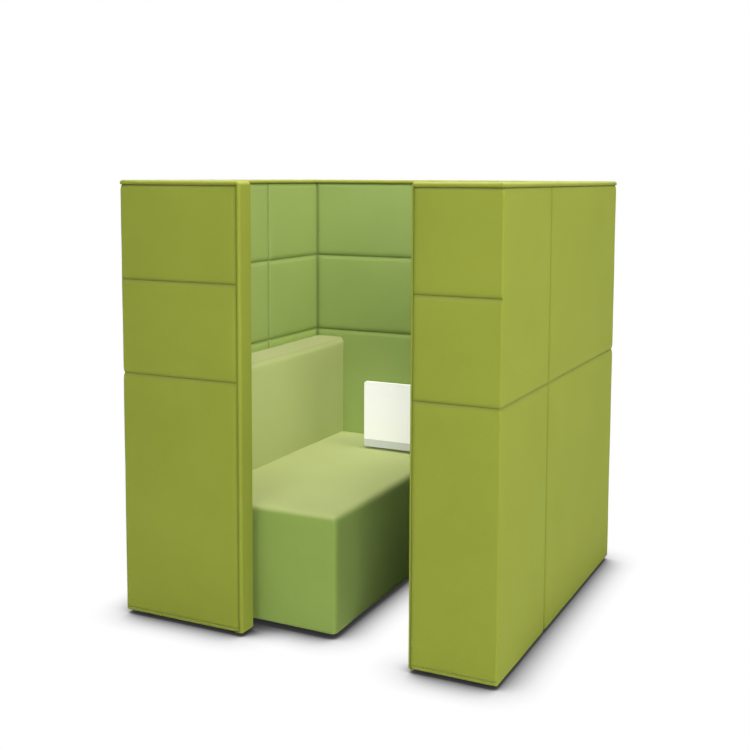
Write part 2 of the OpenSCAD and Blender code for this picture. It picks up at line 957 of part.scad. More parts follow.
module hinge_screw_holes(grow) {
    for (h = hinge_xs, s = [-1, 1]) {
        translate([h + s * screw_dx, leaf_rear - screw_l, leaf_screw_z])
            rotate([-90, 0, 0])
                cylinder(d = screw_d + 2 * grow, h = screw_l + hinge_t);
        translate([h + s * screw_dx, rail_screw_y, rail_z1 - screw_l])
            cylinder(d = screw_d + 2 * grow, h = screw_l + hinge_t);
    }
}

module table_rail() {
    color(steel)
        placed()
            difference() {
                slab([leaf_x + rail_end, leaf_x + leaf_w - rail_end], [rail_y0, rail_y0 + rail_d],
                    [rail_z0, rail_z1]);
                hinge_screw_holes(slip);
            }
}

module knuckle(x0, x1) {
    translate([x0, axis_y, axis_z])
        rotate([0, 90, 0])
            difference() {
                cylinder(d = knuckle_d, h = x1 - x0);
                translate([0, 0, -over])
                    cylinder(d = pin_d + 2 * pin_gap, h = x1 - x0 + 2 * over);
            }
}

// A plate with its pin hole cut clear
module hinge_plate_cut() {
    difference() {
        children();
        for (h = hinge_xs)
            translate([h - hinge_l, axis_y, axis_z])
                rotate([0, 90, 0])
                    cylinder(d = pin_d + 2 * pin_gap, h = 2 * hinge_l);
        hinge_screw_holes(slip);
    }
}

module hinge_fixed_plates() {
    third = hinge_l / knuckles;
    color(zinc)
        placed()
            hinge_plate_cut()
                for (h = hinge_xs) {
                    slab([h - hinge_l * half, h + hinge_l * half],
                        [axis_y + knuckle_d * half + knuckle_gap, axis_y + hinge_reach],
                        [rail_z1, rail_z1 + hinge_t]);
                    for (a = [h - hinge_l * half, h + third * half + knuckle_gap]) {
                        knuckle(a, a + third - knuckle_gap);
                        slab([a, a + third - knuckle_gap], [axis_y, axis_y + knuckle_d],
                            [rail_z1, rail_z1 + hinge_t]);
                    }
                }
}

module hinge_leaf_plates() {
    third = hinge_l / knuckles;
    color(zinc)
        placed()
            hinge_plate_cut()
                for (h = hinge_xs) {
                    knuckle(h - third * half, h + third * half);
                    slab([h - hinge_l * half, h + hinge_l * half], [leaf_rear, leaf_rear + hinge_t],
                        [axis_z - hinge_reach, axis_z - knuckle_d * half - knuckle_gap]);
                    slab([h - third * half, h + third * half],
                        [leaf_rear, leaf_rear + hinge_t], [axis_z - knuckle_d, axis_z]);
                }
}

module hinge_pins() {
    color(zinc)
        placed()
            for (h = hinge_xs)
                translate([h - hinge_l * half - over, axis_y, axis_z])
                    rotate([0, 90, 0])
                        cylinder(d = pin_d, h = hinge_l + 2 * over);
}

// Leaf outlines lie in the X-Z plane and are pushed back by the leaf's thickness
module leaf_outline(z0, z1) {
    translate([0, leaf_rear, 0])
        rotate([90, 0, 0])
            linear_extrude(leaf_t)
                intersection() {
                    translate([leaf_x, z0])
                        square([leaf_w, z1 - z0]);
                    union() {
                        translate([leaf_x + leaf_corner, leaf_z0])
                            square([leaf_w - 2 * leaf_corner, leaf_l]);
                        translate([leaf_x, leaf_z0 + leaf_corner])
                            square([leaf_w, leaf_l - 2 * leaf_corner]);
                        for (x = [leaf_x + leaf_corner, leaf_x + leaf_w - leaf_corner],
                            z = [leaf_z0 + leaf_corner, leaf_z1 - leaf_corner])
                            translate([x, z])
                                circle(r = leaf_corner);
                    }
                }
}

module table_leaf() {
    color(white)
        placed()
            difference() {
                leaf_outline(leaf_z0 + grip_l, leaf_z1);
                hinge_screw_holes(slip);
            }
}

module leaf_grip() {
    color(light_grey)
        placed()
            leaf_outline(leaf_z0, leaf_z0 + grip_l);
}

module hinge_screws() {
    color(zinc)
        placed()
            for (h = hinge_xs, s = [-1, 1])
                translate([h + s * screw_dx, leaf_rear - screw_l + over, leaf_screw_z])
                    rotate([-90, 0, 0])
                        union() {
                            cylinder(d = screw_d, h = screw_l - over + hinge_t + small);
                            translate([0, 0, screw_l - over + hinge_t])
                                cylinder(d = screw_head_d, h = screw_head_h);
                        }
}

module bracket_bolts() {
    color(zinc)
        placed() {
            plate_bolts(0);
            for (h = hinge_xs, s = [-1, 1])
                translate([h + s * screw_dx, rail_screw_y, rail_z1 - screw_l + over])
                    union() {
                        cylinder(d = screw_d, h = screw_l - over + hinge_t + small);
                        translate([0, 0, screw_l - over + hinge_t])
                            cylinder(d = screw_head_d, h = screw_head_h);
                    }
        }
}

back_wall_frame();
left_wall_frame();
right_wall_frame();
left_return_frame();
right_return_frame();
back_wall_infill();
left_wall_infill();
right_wall_infill();
left_return_infill();
right_return_infill();
back_wall_outer_board();
left_wall_outer_board();
right_wall_outer_board();
back_wall_inner_board();
left_wall_inner_board();
right_wall_inner_board();
back_wall_outer_panel();
left_wall_outer_panel();
right_wall_outer_panel();
left_return_outer_panel();
right_return_outer_panel();
back_wall_inner_panel();
left_wall_inner_panel();
right_wall_inner_panel();
left_return_inner_panel();
right_return_inner_panel();
back_wall_top_band();
left_wall_top_band();
right_wall_top_band();
left_return_top_band();
right_return_top_band();
left_return_edge_band();
right_return_edge_band();
frame_bolts();
wall_glides();
bench_side_board();
bench_back_board();
bench_end_boards();
bench_dividers();
bench_glide_blocks();
seat_deck();
bench_dust_cover();
seat_cushion();
bench_side_panel();
bench_end_panel();
backrest_frame();
backrest_board();
backrest_cushion();
backrest_border();
bench_glides();
table_wall_plate();
table_arms();
table_rail();
hinge_fixed_plates();
hinge_leaf_plates();
hinge_pins();
table_leaf();
leaf_grip();
hinge_screws();
bracket_bolts();
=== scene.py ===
import json
import math

import bpy
import numpy as np
from mathutils import Matrix, Vector, noise


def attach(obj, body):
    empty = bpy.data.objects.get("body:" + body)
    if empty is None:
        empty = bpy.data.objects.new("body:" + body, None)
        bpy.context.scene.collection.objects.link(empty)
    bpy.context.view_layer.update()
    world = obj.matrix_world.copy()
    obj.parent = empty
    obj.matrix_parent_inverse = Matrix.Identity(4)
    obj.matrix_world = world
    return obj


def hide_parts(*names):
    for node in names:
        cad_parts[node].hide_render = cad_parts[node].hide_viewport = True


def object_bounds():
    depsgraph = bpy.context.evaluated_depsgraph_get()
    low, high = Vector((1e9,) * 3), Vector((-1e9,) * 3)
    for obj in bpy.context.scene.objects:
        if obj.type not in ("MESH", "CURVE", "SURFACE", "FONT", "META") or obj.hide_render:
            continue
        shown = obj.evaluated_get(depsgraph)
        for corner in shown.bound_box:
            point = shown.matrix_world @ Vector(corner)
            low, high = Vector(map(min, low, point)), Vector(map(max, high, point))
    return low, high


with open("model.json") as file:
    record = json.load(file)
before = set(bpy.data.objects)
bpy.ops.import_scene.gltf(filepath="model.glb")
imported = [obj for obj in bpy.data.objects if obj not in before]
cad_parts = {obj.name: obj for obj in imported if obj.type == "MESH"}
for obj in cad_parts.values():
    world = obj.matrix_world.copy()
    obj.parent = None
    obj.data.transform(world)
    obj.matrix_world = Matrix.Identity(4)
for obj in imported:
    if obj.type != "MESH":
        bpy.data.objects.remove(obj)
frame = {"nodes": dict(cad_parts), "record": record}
cad_low, cad_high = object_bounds()

scene = bpy.context.scene
MM = 0.001

# the booth in millimetres, measured from its front left corner on the floor
WIDE, DEEP, TALL = (round((high - low) / MM, 1) for low, high in zip(cad_low, cad_high))
WALL, RETURN = 100.0, 80.0
LEFT_EDGE, RIGHT_EDGE = 525.0, 1180.0
BAND, RIGHT_BAND = 17.0, 8.0
CORNER = 10.0
FLOOR_GAP = 15.0

# sewn lines: heights above the floor, distances from the entry side, and the ends of the front faces
BOTTOM_SEAM = FLOOR_GAP + 12.0
LOW_SEAM, HIGH_SEAM, TOP_SEAM = 931.0, 1283.0, TALL - BAND
INNER_RISE = 13.0
SIDE_SEAM, INNER_SIDE_SEAM = 512.0, 903.0
SEAM_LEFT = LEFT_EDGE - BAND
SEAM_RIGHT = RIGHT_EDGE + RIGHT_BAND

# how the cloth lies on its foam. FAINT is added to the distance from lines that take little painted shade
CROWN, CROWN_POWER = 2.5, 3
SHOULDER = 24.0
CREASE_SHARE, CREASE_WIDTH = 0.26, 0.25
SEAM_DIP = 6.5
SIDE_DIP = 0.9
BOTTOM_SHOULDER, BOTTOM_DIP = 9.0, 0.5
FAINT = 4.0
INNER_CORNER_DIP = 0.5
LAP = 9.0

# slight unevenness: size and height of its waves, and steps that tell the seeds apart
OUTER_WAVES = [(210.0, 1.1), (70.0, 0.35)]
INNER_WAVES = [(200.0, 1.1), (65.0, 0.4)]
BOXING_WAVES = [(120.0, 0.5)]
BOXING_WAVE_SHARE = np.array([0.3, 0.3, 0.6])
OUTER_SEED, BOXING_SEED = 1, 5
PANEL_DRIFT, CUSHION_DRIFT = (13.1, 7.7, 3.3), (3.7, 1.9, 5.1)

# how the cloth turns under at the bottom: height above the floor gap, and inset, less so inside
TURN_UNDER = [(0.0, 46.0), (0.05, 8.0), (0.5, 4.2), (1.5, 2.0), (3.2, 0.6), (5.5, 0.0)]
TURN_TOP = 7.0
BOTTOM_ROWS = [7.0, 8.5, 10.0, 11.2]
INNER_TURN = 0.4

# distances from a sewn line at which grid lines crowd, within a share of half a tile, and their step
# further off
CROWD = [0, 0.7, 1.6, 2.8, 4.2, 6.0, 8.2, 11.0, 14.0, 19.0, 28.0, 42.0]
CROWD_SHARE = 0.9
GRID_STEP = 34.0
FAR = 1e3

# the bench and its backrest
BENCH_END, BENCH_FRONT, SEAT_TOP = 118.0, 846.0, 466.0
BACK_FRONT, BACK_TOP = 245.0, 918.0


def to_frame(points):
    """Booth millimetres to the frame's metres."""
    moved = np.asarray(points, float) - np.array([WIDE / 2, DEEP / 2, 0.0])
    return moved * MM


# grids that crowd towards sewn lines
def spread(stops):
    """Grid positions that crowd towards each stop."""
    out = []
    for a, b in zip(stops[:-1], stops[1:]):
        half = (b - a) / 2
        near = [d for d in CROWD if d < half * CROWD_SHARE]
        last = near[-1]
        count = max(1, int(round((b - a - 2 * last) / GRID_STEP)))
        inner = [a + last + (b - a - 2 * last) * i / count for i in range(1, count)]
        out += [a + d for d in near] + inner + [b - d for d in reversed(near)][:-1]
    out.append(stops[-1])
    return np.array(out)


def nearest(values, stops):
    """Distance to the nearest stop."""
    if not len(stops):
        return np.full(len(values), FAR)
    return np.min(np.abs(np.asarray(values)[:, None] - np.asarray(stops)[None, :]), axis=1)


def fall(distance, width=SHOULDER, dip=1.0):
    """How far cloth sinks beside a sewn line: a soft shoulder with a sharp crease."""
    soft = np.clip(1 - distance / width, 0, 1) ** 2
    crease = np.clip(1 - distance / (CREASE_WIDTH * width), 0, 1) ** 2
    return dip * ((1 - CREASE_SHARE) * soft + CREASE_SHARE * crease)


def swell(values, stops):
    """0 on a tile's borders, 1 across its middle."""
    values = np.asarray(values)
    out = np.zeros(len(values))
    for a, b in zip(stops[:-1], stops[1:]):
        inside = (values >= a) & (values <= b)
        out[inside] = 1 - np.abs(2 * (values[inside] - a) / (b - a) - 1) ** CROWN_POWER
    return out


def unevenness(points, size, seed, drift):
    """Smooth noise from -1 to 1 at each point. seed and drift pick its place."""
    offset = Vector([seed * step for step in drift])
    return np.array([noise.noise(Vector(p) / size + offset) for p in points])


def ripples(points, waves, seed):
    """Slight unevenness over a grid of points, summed from waves of a size and a height."""
    flat = points.reshape(-1, 3)
    total = np.zeros(len(flat))
    for k, (size, height) in enumerate(waves):
        total += unevenness(flat, size, seed + k, PANEL_DRIFT) * height
    return total.reshape(points.shape[:-1])


def rows_for(stops):
    """Heights of a wall cover's grid rows, and how far each row is set in where it turns under."""
    above = spread(stops)
    above = above[above > FLOOR_GAP + TURN_TOP]
    heights = np.concatenate([[FLOOR_GAP + rise for rise, _ in TURN_UNDER], above])
    insets = np.concatenate([[inset for _, inset in TURN_UNDER], np.zeros(len(above))])
    return heights, insets


# meshes and their dress
def grid_normals(points, flip):
    """Unit normals of a grid of points, so that pieces cut from one grid meet without a step."""
    along = np.gradient(points, axis=1)
    up = np.gradient(points, axis=0)
    normals = np.cross(along, up)
    normals /= np.maximum(np.linalg.norm(normals, axis=2, keepdims=True), 1e-12)
    return -normals if flip else normals


def new_object(name, verts, faces):
    """A smooth mesh from booth millimetres, linked to the scene."""
    mesh = bpy.data.meshes.new(name)
    mesh.from_pydata(to_frame(verts).tolist(), [], faces)
    mesh.update()
    mesh.polygons.foreach_set("use_smooth", [True] * len(mesh.polygons))
    obj = bpy.data.objects.new(name, mesh)
    scene.collection.objects.link(obj)
    return obj


def store_seams(obj, distance, run):
    """Stores each vertex's metres to the nearest sewn line and along it, for the cloth's shader."""
    for key, values in (("seam_d", distance), ("seam_s", run)):
        store = obj.data.attributes.get(key) or obj.data.attributes.new(key, "FLOAT", "POINT")
        store.data.foreach_set("value", np.asarray(values, np.float32))


def grid_object(name, points, normals, distance, run, flip):
    """A sheet of quads from a grid of points, with its own smooth normals and stored seams."""
    rows, cols = points.shape[:2]
    index = np.arange(rows * cols).reshape(rows, cols)
    a, b, c, d = index[:-1, :-1], index[:-1, 1:], index[1:, 1:], index[1:, :-1]
    quads = np.stack([a, d, c, b] if flip else [a, b, c, d], axis=-1).reshape(-1, 4)
    obj = new_object(name, points.reshape(-1, 3), quads.tolist())
    obj.data.normals_split_custom_set_from_vertices(normals.reshape(-1, 3).tolist())
    store_seams(obj, distance.reshape(-1) * MM, run.reshape(-1) * MM)
    return obj


def dress(obj, material, slot, *nodes):
    """Gives the object its cloth and its body, and hides the CAD nodes that it stands for. slot is not
    used.
    """
    obj.data.materials.clear()
    obj.data.materials.append(material)
    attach(obj, "booth")
    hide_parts(*nodes)


# shader helpers
def link(tree, a, b):
    """Leads the output a into the input b."""
    tree.links.new(a, b)


def new_group(name, inputs, outputs):
    """A shader group with inputs by label, kind and value, and outputs by label and kind."""
    group = bpy.data.node_groups.new(name, "ShaderNodeTree")
    for label, kind, value in inputs:
        socket = group.interface.new_socket(label, in_out="INPUT", socket_type=kind)
        if value is not None:
            socket.default_value = value
    for label, kind in outputs:
        group.interface.new_socket(label, in_out="OUTPUT", socket_type=kind)
    return group, group.nodes.new("NodeGroupInput"), group.nodes.new("NodeGroupOutput")


def feed(tree, value, socket):
    """Gives a socket a number, a colour or another node's output."""
    if isinstance(value, (int, float)):
        socket.default_value = value
    elif isinstance(value, (tuple, list)):
        socket.default_value = (*value, 1.0)
    else:
        link(tree, value, socket)


def math_node(tree, operation, *values, clamp=False):
    """A math node. Each value is a number or another node's output."""
    made = tree.nodes.new("ShaderNodeMath")
    made.operation = operation
    made.use_clamp = clamp
    for socket, value in zip(made.inputs, values):
        feed(tree, value, socket)
    return made.outputs[0]


def mix_colour(tree, factor, a, b, blend="MIX"):
    """A colour mix. The factor and both colours are plain values or other nodes' outputs."""
    made = tree.nodes.new("ShaderNodeMix")
    made.data_type = "RGBA"
    made.blend_type = blend
    feed(tree, factor, made.inputs[0])
    feed(tree, a, made.inputs[6])
    feed(tree, b, made.inputs[7])
    return made.outputs[2]


def noise_node(tree, vector, scale, detail=3.0, rough=0.55):
    """Smooth noise from 0 to 1 at a place. The scale is a number or another node's output."""
    made = tree.nodes.new("ShaderNodeTexNoise")
    feed(tree, scale, made.inputs["Scale"])
    made.inputs["Detail"].default_value = detail
    made.inputs["Roughness"].default_value = rough
    link(tree, vector, made.inputs["Vector"])
    return made.outputs["Fac"]


def smooth_step(tree, value, low, high):
    """0 below low, 1 above high, with a soft rise between."""
    made = tree.nodes.new("ShaderNodeMapRange")
    made.interpolation_type = "SMOOTHSTEP"
    made.inputs["From Min"].default_value = low
    made.inputs["From Max"].default_value = high
    link(tree, value, made.inputs["Value"])
    return made.outputs[0]


def bump_node(tree, height, depth, strength, normal=None):
    """A normal tilted by a height, on top of another normal if one is given."""
    made = tree.nodes.new("ShaderNodeBump")
    made.inputs["Distance"].default_value = depth
    made.inputs["Strength"].default_value = strength
    link(tree, height, made.inputs["Height"])
    if normal is not None:
        link(tree, normal, made.inputs["Normal"])
    return made.outputs["Normal"]


def new_material(name):
    """A material with its node tree and its shader."""
    material = bpy.data.materials.new(name)
    material.use_nodes = True
    tree = material.node_tree
    return material, tree, tree.nodes["Principled BSDF"]


# shared effects
SLUB_SCALE, FLECK_SCALE, CLOUD_SCALE = 900.0, 520.0, 3.2
PUCKER_SCALE, PUCKER_STRETCH = 62.0, 0.25
SMUDGE_SCALE, GRAIN_SCALE = 9.0, 2.4
GRAIN_STRETCH = (30.0, 30.0, 1.6)


def weave_group():
    """Plain weave on whichever plane the cloth faces, from a point and a normal."""
    g, i, o = new_group(
        "cloth weave",
        [("Point", "NodeSocketVector", None), ("Normal", "NodeSocketVector", None),
         ("Pitch", "NodeSocketFloat", 0.0022), ("Slub", "NodeSocketFloat", 0.35)],
        [("Height", "NodeSocketFloat"), ("Fleck", "NodeSocketFloat"), ("Cloud", "NodeSocketFloat")],
    )
    point = g.nodes.new("ShaderNodeSeparateXYZ")
    normal = g.nodes.new("ShaderNodeSeparateXYZ")
    link(g, i.outputs["Point"], point.inputs[0])
    link(g, i.outputs["Normal"], normal.inputs[0])
    ax, ay, az = (math_node(g, "ABSOLUTE", normal.outputs[k]) for k in range(3))
    faces_x = math_node(g, "GREATER_THAN", ax, math_node(g, "MAXIMUM", ay, az))
    faces_z = math_node(g, "GREATER_THAN", az, math_node(g, "MAXIMUM", ax, ay))

    def blend(a, b, share):
        rest = math_node(g, "SUBTRACT", 1.0, share)
        return math_node(g, "ADD", math_node(g, "MULTIPLY", a, rest), math_node(g, "MULTIPLY", b, share))

    u = blend(point.outputs[0], point.outputs[1], faces_x)
    v = blend(point.outputs[2], point.outputs[1], faces_z)
    turn = math_node(g, "DIVIDE", 2 * math.pi, i.outputs["Pitch"])
    wave_u = math_node(g, "COSINE", math_node(g, "MULTIPLY", u, turn))
    wave_v = math_node(g, "COSINE", math_node(g, "MULTIPLY", v, turn))
    plain = math_node(g, "MULTIPLY_ADD", math_node(g, "MULTIPLY", wave_u, wave_v), 0.5, 0.5)
    slub = noise_node(g, i.outputs["Point"], SLUB_SCALE, 2.0)
    link(g, blend(plain, slub, i.outputs["Slub"]), o.inputs["Height"])
    link(g, noise_node(g, i.outputs["Point"], FLECK_SCALE, 4.0, 0.7), o.inputs["Fleck"])
    link(g, noise_node(g, i.outputs["Point"], CLOUD_SCALE, 3.0, 0.5), o.inputs["Cloud"])
    return g


def seam_group():
    """Painted shade and puckers beside a sewn line, from the stored distance and run."""
    g, i, o = new_group(
        "sewn line",
        [("Distance", "NodeSocketFloat", 1.0), ("Run", "NodeSocketFloat", 0.0),
         ("Width", "NodeSocketFloat", 0.015), ("Reach", "NodeSocketFloat", 0.035)],
        [("Shade", "NodeSocketFloat"), ("Pucker", "NodeSocketFloat")],
    )

    def fade(width):
        share = math_node(g, "DIVIDE", i.outputs["Distance"], i.outputs[width])
        left = math_node(g, "SUBTRACT", 1.0, share, clamp=True)
        return math_node(g, "MULTIPLY", left, left)

    place = g.nodes.new("ShaderNodeCombineXYZ")
    link(g, i.outputs["Run"], place.inputs[0])
    link(g, math_node(g, "MULTIPLY", i.outputs["Distance"], PUCKER_STRETCH), place.inputs[1])
    folds = noise_node(g, place.outputs[0], PUCKER_SCALE, 2.0, 0.5)
    wrinkle = math_node(g, "MULTIPLY", math_node(g, "SUBTRACT", folds, 0.5), fade("Reach"))
    link(g, fade("Width"), o.inputs["Shade"])
    link(g, wrinkle, o.inputs["Pucker"])
    return g


def surface_group():
    """Smudges, fine unevenness and drawn-out wood grain on hard stuff, at a point."""
    g, i, o = new_group(
        "hard surface",
        [("Point", "NodeSocketVector", None), ("Fineness", "NodeSocketFloat", 140.0)],
        [("Smudge", "NodeSocketFloat"), ("Fine", "NodeSocketFloat"), ("Grain", "NodeSocketFloat")],
    )
    stretch = g.nodes.new("ShaderNodeMapping")
    stretch.inputs["Scale"].default_value = GRAIN_STRETCH
    link(g, i.outputs["Point"], stretch.inputs["Vector"])
    link(g, noise_node(g, i.outputs["Point"], SMUDGE_SCALE, 4.0, 0.6), o.inputs["Smudge"])
    link(g, noise_node(g, i.outputs["Point"], i.outputs["Fineness"], 3.0, 0.6), o.inputs["Fine"])
    link(g, noise_node(g, stretch.outputs[0], GRAIN_SCALE, 6.0, 0.6), o.inputs["Grain"])
    return g


WEAVE = weave_group()
SEWN = seam_group()
SURFACE = surface_group()

# cloth
CLOTH_ROUGHNESS, CLOTH_SPECULAR, SHEEN_ROUGHNESS = 0.88, 0.12, 0.45
PATCH_CONTRAST, PATCH_SHARE = 1.5, 0.55
FLECK_SPAN, THREAD_SPAN = 0.34, 0.18
# how far a face must point up to take the painted light and shade of the tops
PAINTED_TOP_RANGE = (0.1, 0.75)
# painted shade beside sewn lines: its tone against the base colour, and its strength
PAINTED_SEAM_SHADE, PAINTED_SEAM_SHARE = 0.35, 0.55
FOLD_DEPTH, FOLD_STRENGTH = 0.006, 0.28
THREAD_DEPTH, THREAD_STRENGTH = 0.0005, 0.55
BENCH_FUZZ, BENCH_SHEEN = 0.15, (1.0, 1.0, 0.7)


def around_one(tree, value, span):
    """Turns 0 to 1 into a factor that varies by span about 1."""
    return math_node(tree, "MULTIPLY_ADD", value, span, 1 - span / 2)


def fabric(name, base, light, dark, fuzz=0.12, sheen=(0.8, 1.0, 0.35), above=None):
    """Woven wool. above is a tint of painted light and shade on the faces that point up."""
    material, t, shader = new_material(name)
    coords = t.nodes.new("ShaderNodeTexCoord")
    weave = t.nodes.new("ShaderNodeGroup")
    weave.node_tree = WEAVE
    link(t, coords.outputs["Object"], weave.inputs["Point"])
    link(t, coords.outputs["Normal"], weave.inputs["Normal"])
    sewn = t.nodes.new("ShaderNodeGroup")
    sewn.node_tree = SEWN
    for key, socket in (("seam_d", "Distance"), ("seam_s", "Run")):
        stored = t.nodes.new("ShaderNodeAttribute")
        stored.attribute_name = key
        link(t, stored.outputs["Fac"], sewn.inputs[socket])
    patch = math_node(t, "SUBTRACT", weave.outputs["Cloud"], 0.5)
    patch = math_node(t, "MULTIPLY_ADD", patch, PATCH_CONTRAST, 0.5, clamp=True)
    colour = mix_colour(t, PATCH_SHARE, base, mix_colour(t, patch, dark, light))
    fleck = around_one(t, weave.outputs["Fleck"], FLECK_SPAN)
    thread = around_one(t, weave.outputs["Height"], THREAD_SPAN)
    tone = math_node(t, "MULTIPLY", fleck, thread)
    grey = t.nodes.new("ShaderNodeCombineColor")
    for socket in grey.inputs:
        link(t, tone, socket)
    colour = mix_colour(t, 1.0, colour, grey.outputs[0], "MULTIPLY")
    # faces that point up take painted light and shade, paler or darker by the tint
    if above:
        facing = t.nodes.new("ShaderNodeSeparateXYZ")
        link(t, coords.outputs["Normal"], facing.inputs[0])
        painted_top = smooth_step(t, facing.outputs[2], *PAINTED_TOP_RANGE)
        colour = mix_colour(t, 1.0, colour, mix_colour(t, painted_top, (1.0, 1.0, 1.0), above), "MULTIPLY")
    # painted shade in the creases beside the sewn lines
    shade = math_node(t, "MULTIPLY", sewn.outputs["Shade"], PAINTED_SEAM_SHARE)
    colour = mix_colour(t, shade, colour, tuple(PAINTED_SEAM_SHADE * c for c in base))
    folds = bump_node(t, sewn.outputs["Pucker"], FOLD_DEPTH, FOLD_STRENGTH)
    threads = bump_node(t, weave.outputs["Height"], THREAD_DEPTH, THREAD_STRENGTH, folds)
    link(t, colour, shader.inputs["Base Color"])
    link(t, threads, shader.inputs["Normal"])
    shader.inputs["Roughness"].default_value = CLOTH_ROUGHNESS
    shader.inputs["Specular IOR Level"].default_value = CLOTH_SPECULAR
    shader.inputs["Sheen Weight"].default_value = fuzz
    shader.inputs["Sheen Roughness"].default_value = SHEEN_ROUGHNESS
    shader.inputs["Sheen Tint"].default_value = (*sheen, 1.0)
    return material


# hard stuff
GLOSS_SPAN = 0.16
COAT_ROUGHNESS = 0.12
BUMP_STRENGTH = 0.5


def hard(name, base, rough, metal=0.0, grain=None, bump=0.0, scale=140.0, spread_by=0.12, coat=0.0):
    """Painted, plated or moulded stuff with smudged gloss. grain is a colour, bump a depth in metres."""
    material, t, shader = new_material(name)
    coords = t.nodes.new("ShaderNodeTexCoord")
    surface = t.nodes.new("ShaderNodeGroup")
    surface.node_tree = SURFACE
    surface.inputs["Fineness"].default_value = scale
    link(t, coords.outputs["Object"], surface.inputs["Point"])
    fine = surface.outputs["Fine"]
    darker = tuple(c * (1 - spread_by) for c in base)
    lighter = tuple(min(1.0, c * (1 + spread_by * 0.5)) for c in base)
    colour = mix_colour(t, surface.outputs["Smudge"], darker, lighter)
    if grain:
        colour = mix_colour(t, surface.outputs["Grain"], colour, grain)
    gloss = math_node(t, "MULTIPLY_ADD", fine, GLOSS_SPAN, rough - GLOSS_SPAN / 2, clamp=True)
    link(t, colour, shader.inputs["Base Color"])
    link(t, gloss, shader.inputs["Roughness"])
    if bump:
        link(t, bump_node(t, fine, bump, BUMP_STRENGTH), shader.inputs["Normal"])
    shader.inputs["Metallic"].default_value = metal
    shader.inputs["Coat Weight"].default_value = coat
    shader.inputs["Coat Roughness"].default_value = COAT_ROUGHNESS
    return material


# the walls' tops are painted paler, a painted highlight
OUTER = fabric("outer cloth", (0.247, 0.284, 0.0355), (0.277, 0.309, 0.042), (0.217, 0.259, 0.0295),
               above=(1.3, 1.19, 2.4))
INNER = fabric("inner cloth", (0.293, 0.386, 0.112), (0.319, 0.408, 0.124), (0.264, 0.361, 0.101))
# the bench's top is painted paler than its sides, a painted highlight
SEAT = fabric("seat cloth", (0.237, 0.325, 0.072), (0.252, 0.343, 0.079), (0.218, 0.304, 0.064),
              BENCH_FUZZ, BENCH_SHEEN, above=(1.46, 1.2, 2.04))
# a paler copy of the bench cloth: its front is painted lighter, a painted highlight, and its top darker, a
# painted shade
BACK = fabric("back cloth", (0.43, 0.49, 0.19), (0.45, 0.51, 0.2), (0.403, 0.464, 0.176),
              BENCH_FUZZ, BENCH_SHEEN, above=(0.64, 0.61, 0.67))
LOOKS = {
    "outer_fabric": OUTER,
    "inner_fabric": INNER,
    "softwood": hard("planed softwood", (0.62, 0.45, 0.27), 0.62, grain=(0.45, 0.29, 0.14), bump=0.0003),
    "board": hard("hardboard", (0.36, 0.25, 0.15), 0.7, bump=0.0003, scale=500.0),
    "plywood": hard("birch plywood", (0.63, 0.48, 0.3), 0.55, grain=(0.5, 0.35, 0.2), bump=0.0002),
    "acoustic_foam": hard("grey foam", (0.2, 0.2, 0.21), 0.9, bump=0.002, scale=300.0),
    "dust_cloth": hard("black lining", (0.02, 0.02, 0.02), 0.85, bump=0.0005, scale=700.0),
    "zinc": hard("zinc plate", (0.6, 0.6, 0.58), 0.34, metal=1.0, bump=0.0001),
    "dark_steel": hard("dark powder coat", (0.05, 0.056, 0.035), 0.5, bump=0.0002, scale=600.0),
    "black_plastic": hard("black glide", (0.018, 0.018, 0.02), 0.5, bump=0.0002, scale=500.0),
    "clear_plastic": hard("clear glide", (0.42, 0.46, 0.44), 0.22, bump=0.0001, coat=0.3),
    "white_laminate": hard("white laminate", (0.97, 0.94, 0.98), 0.34, bump=0.00008, scale=900.0,
                           spread_by=0.02, coat=0.15),
    "grey_plastic": hard("grey grip", (0.6, 0.6, 0.6), 0.42, bump=0.0001, scale=700.0, spread_by=0.04),
}
SLOT_OF = {part["node"]: part["material_slot"] for part in frame["record"]["subparts"]}
for key, obj in frame["nodes"].items():
    obj.data.materials.clear()
    obj.data.materials.append(LOOKS[SLOT_OF[key]])

# outer covers: one sheet round the outside, cut at the walls' corners
OUTER_WALLS = ["left_return", "left_wall", "back_wall", "right_wall", "right_return"]
LEFT_FRONT, LEFT_SIDE, REAR, RIGHT_SIDE, RIGHT_FRONT = range(5)
CORNER_STEPS = 7
# columns of a station on the path round the outside
X, Y, NORMAL_X, NORMAL_Y, TO_SEAM, SWELL, FACE, RUN = range(8)


def straight(a, b, normal, stops, borders, face):
    """Stations along one face. stops are the places of its upright seams, borders those of its tiles."""
    length = math.hypot(b[0] - a[0], b[1] - a[1])
    marks = sorted({0.0, length, *[s for s in stops if 0 < s < length]})
    along = spread(marks)
    out = []
    for share, to_seam, rise in zip(along / length, nearest(along, stops), swell(along, borders)):
        x = a[0] + (b[0] - a[0]) * share
        y = a[1] + (b[1] - a[1]) * share
        out.append([x, y, *normal, to_seam, rise, face, 0.0])
    return out


def arc(cx, cy, start, face):
    """A quarter turn from one face to the next, clockwise from the angle start, seen from above."""
    out = []
    for k in range(1, CORNER_STEPS):
        turn = start - math.pi / 2 * k / CORNER_STEPS
        nx, ny = math.cos(turn), math.sin(turn)
        side = face if k <= CORNER_STEPS // 2 else face + 1
        out.append([cx + CORNER * nx, cy + CORNER * ny, nx, ny, FAR, 0.0, side, 0.0])
    return out


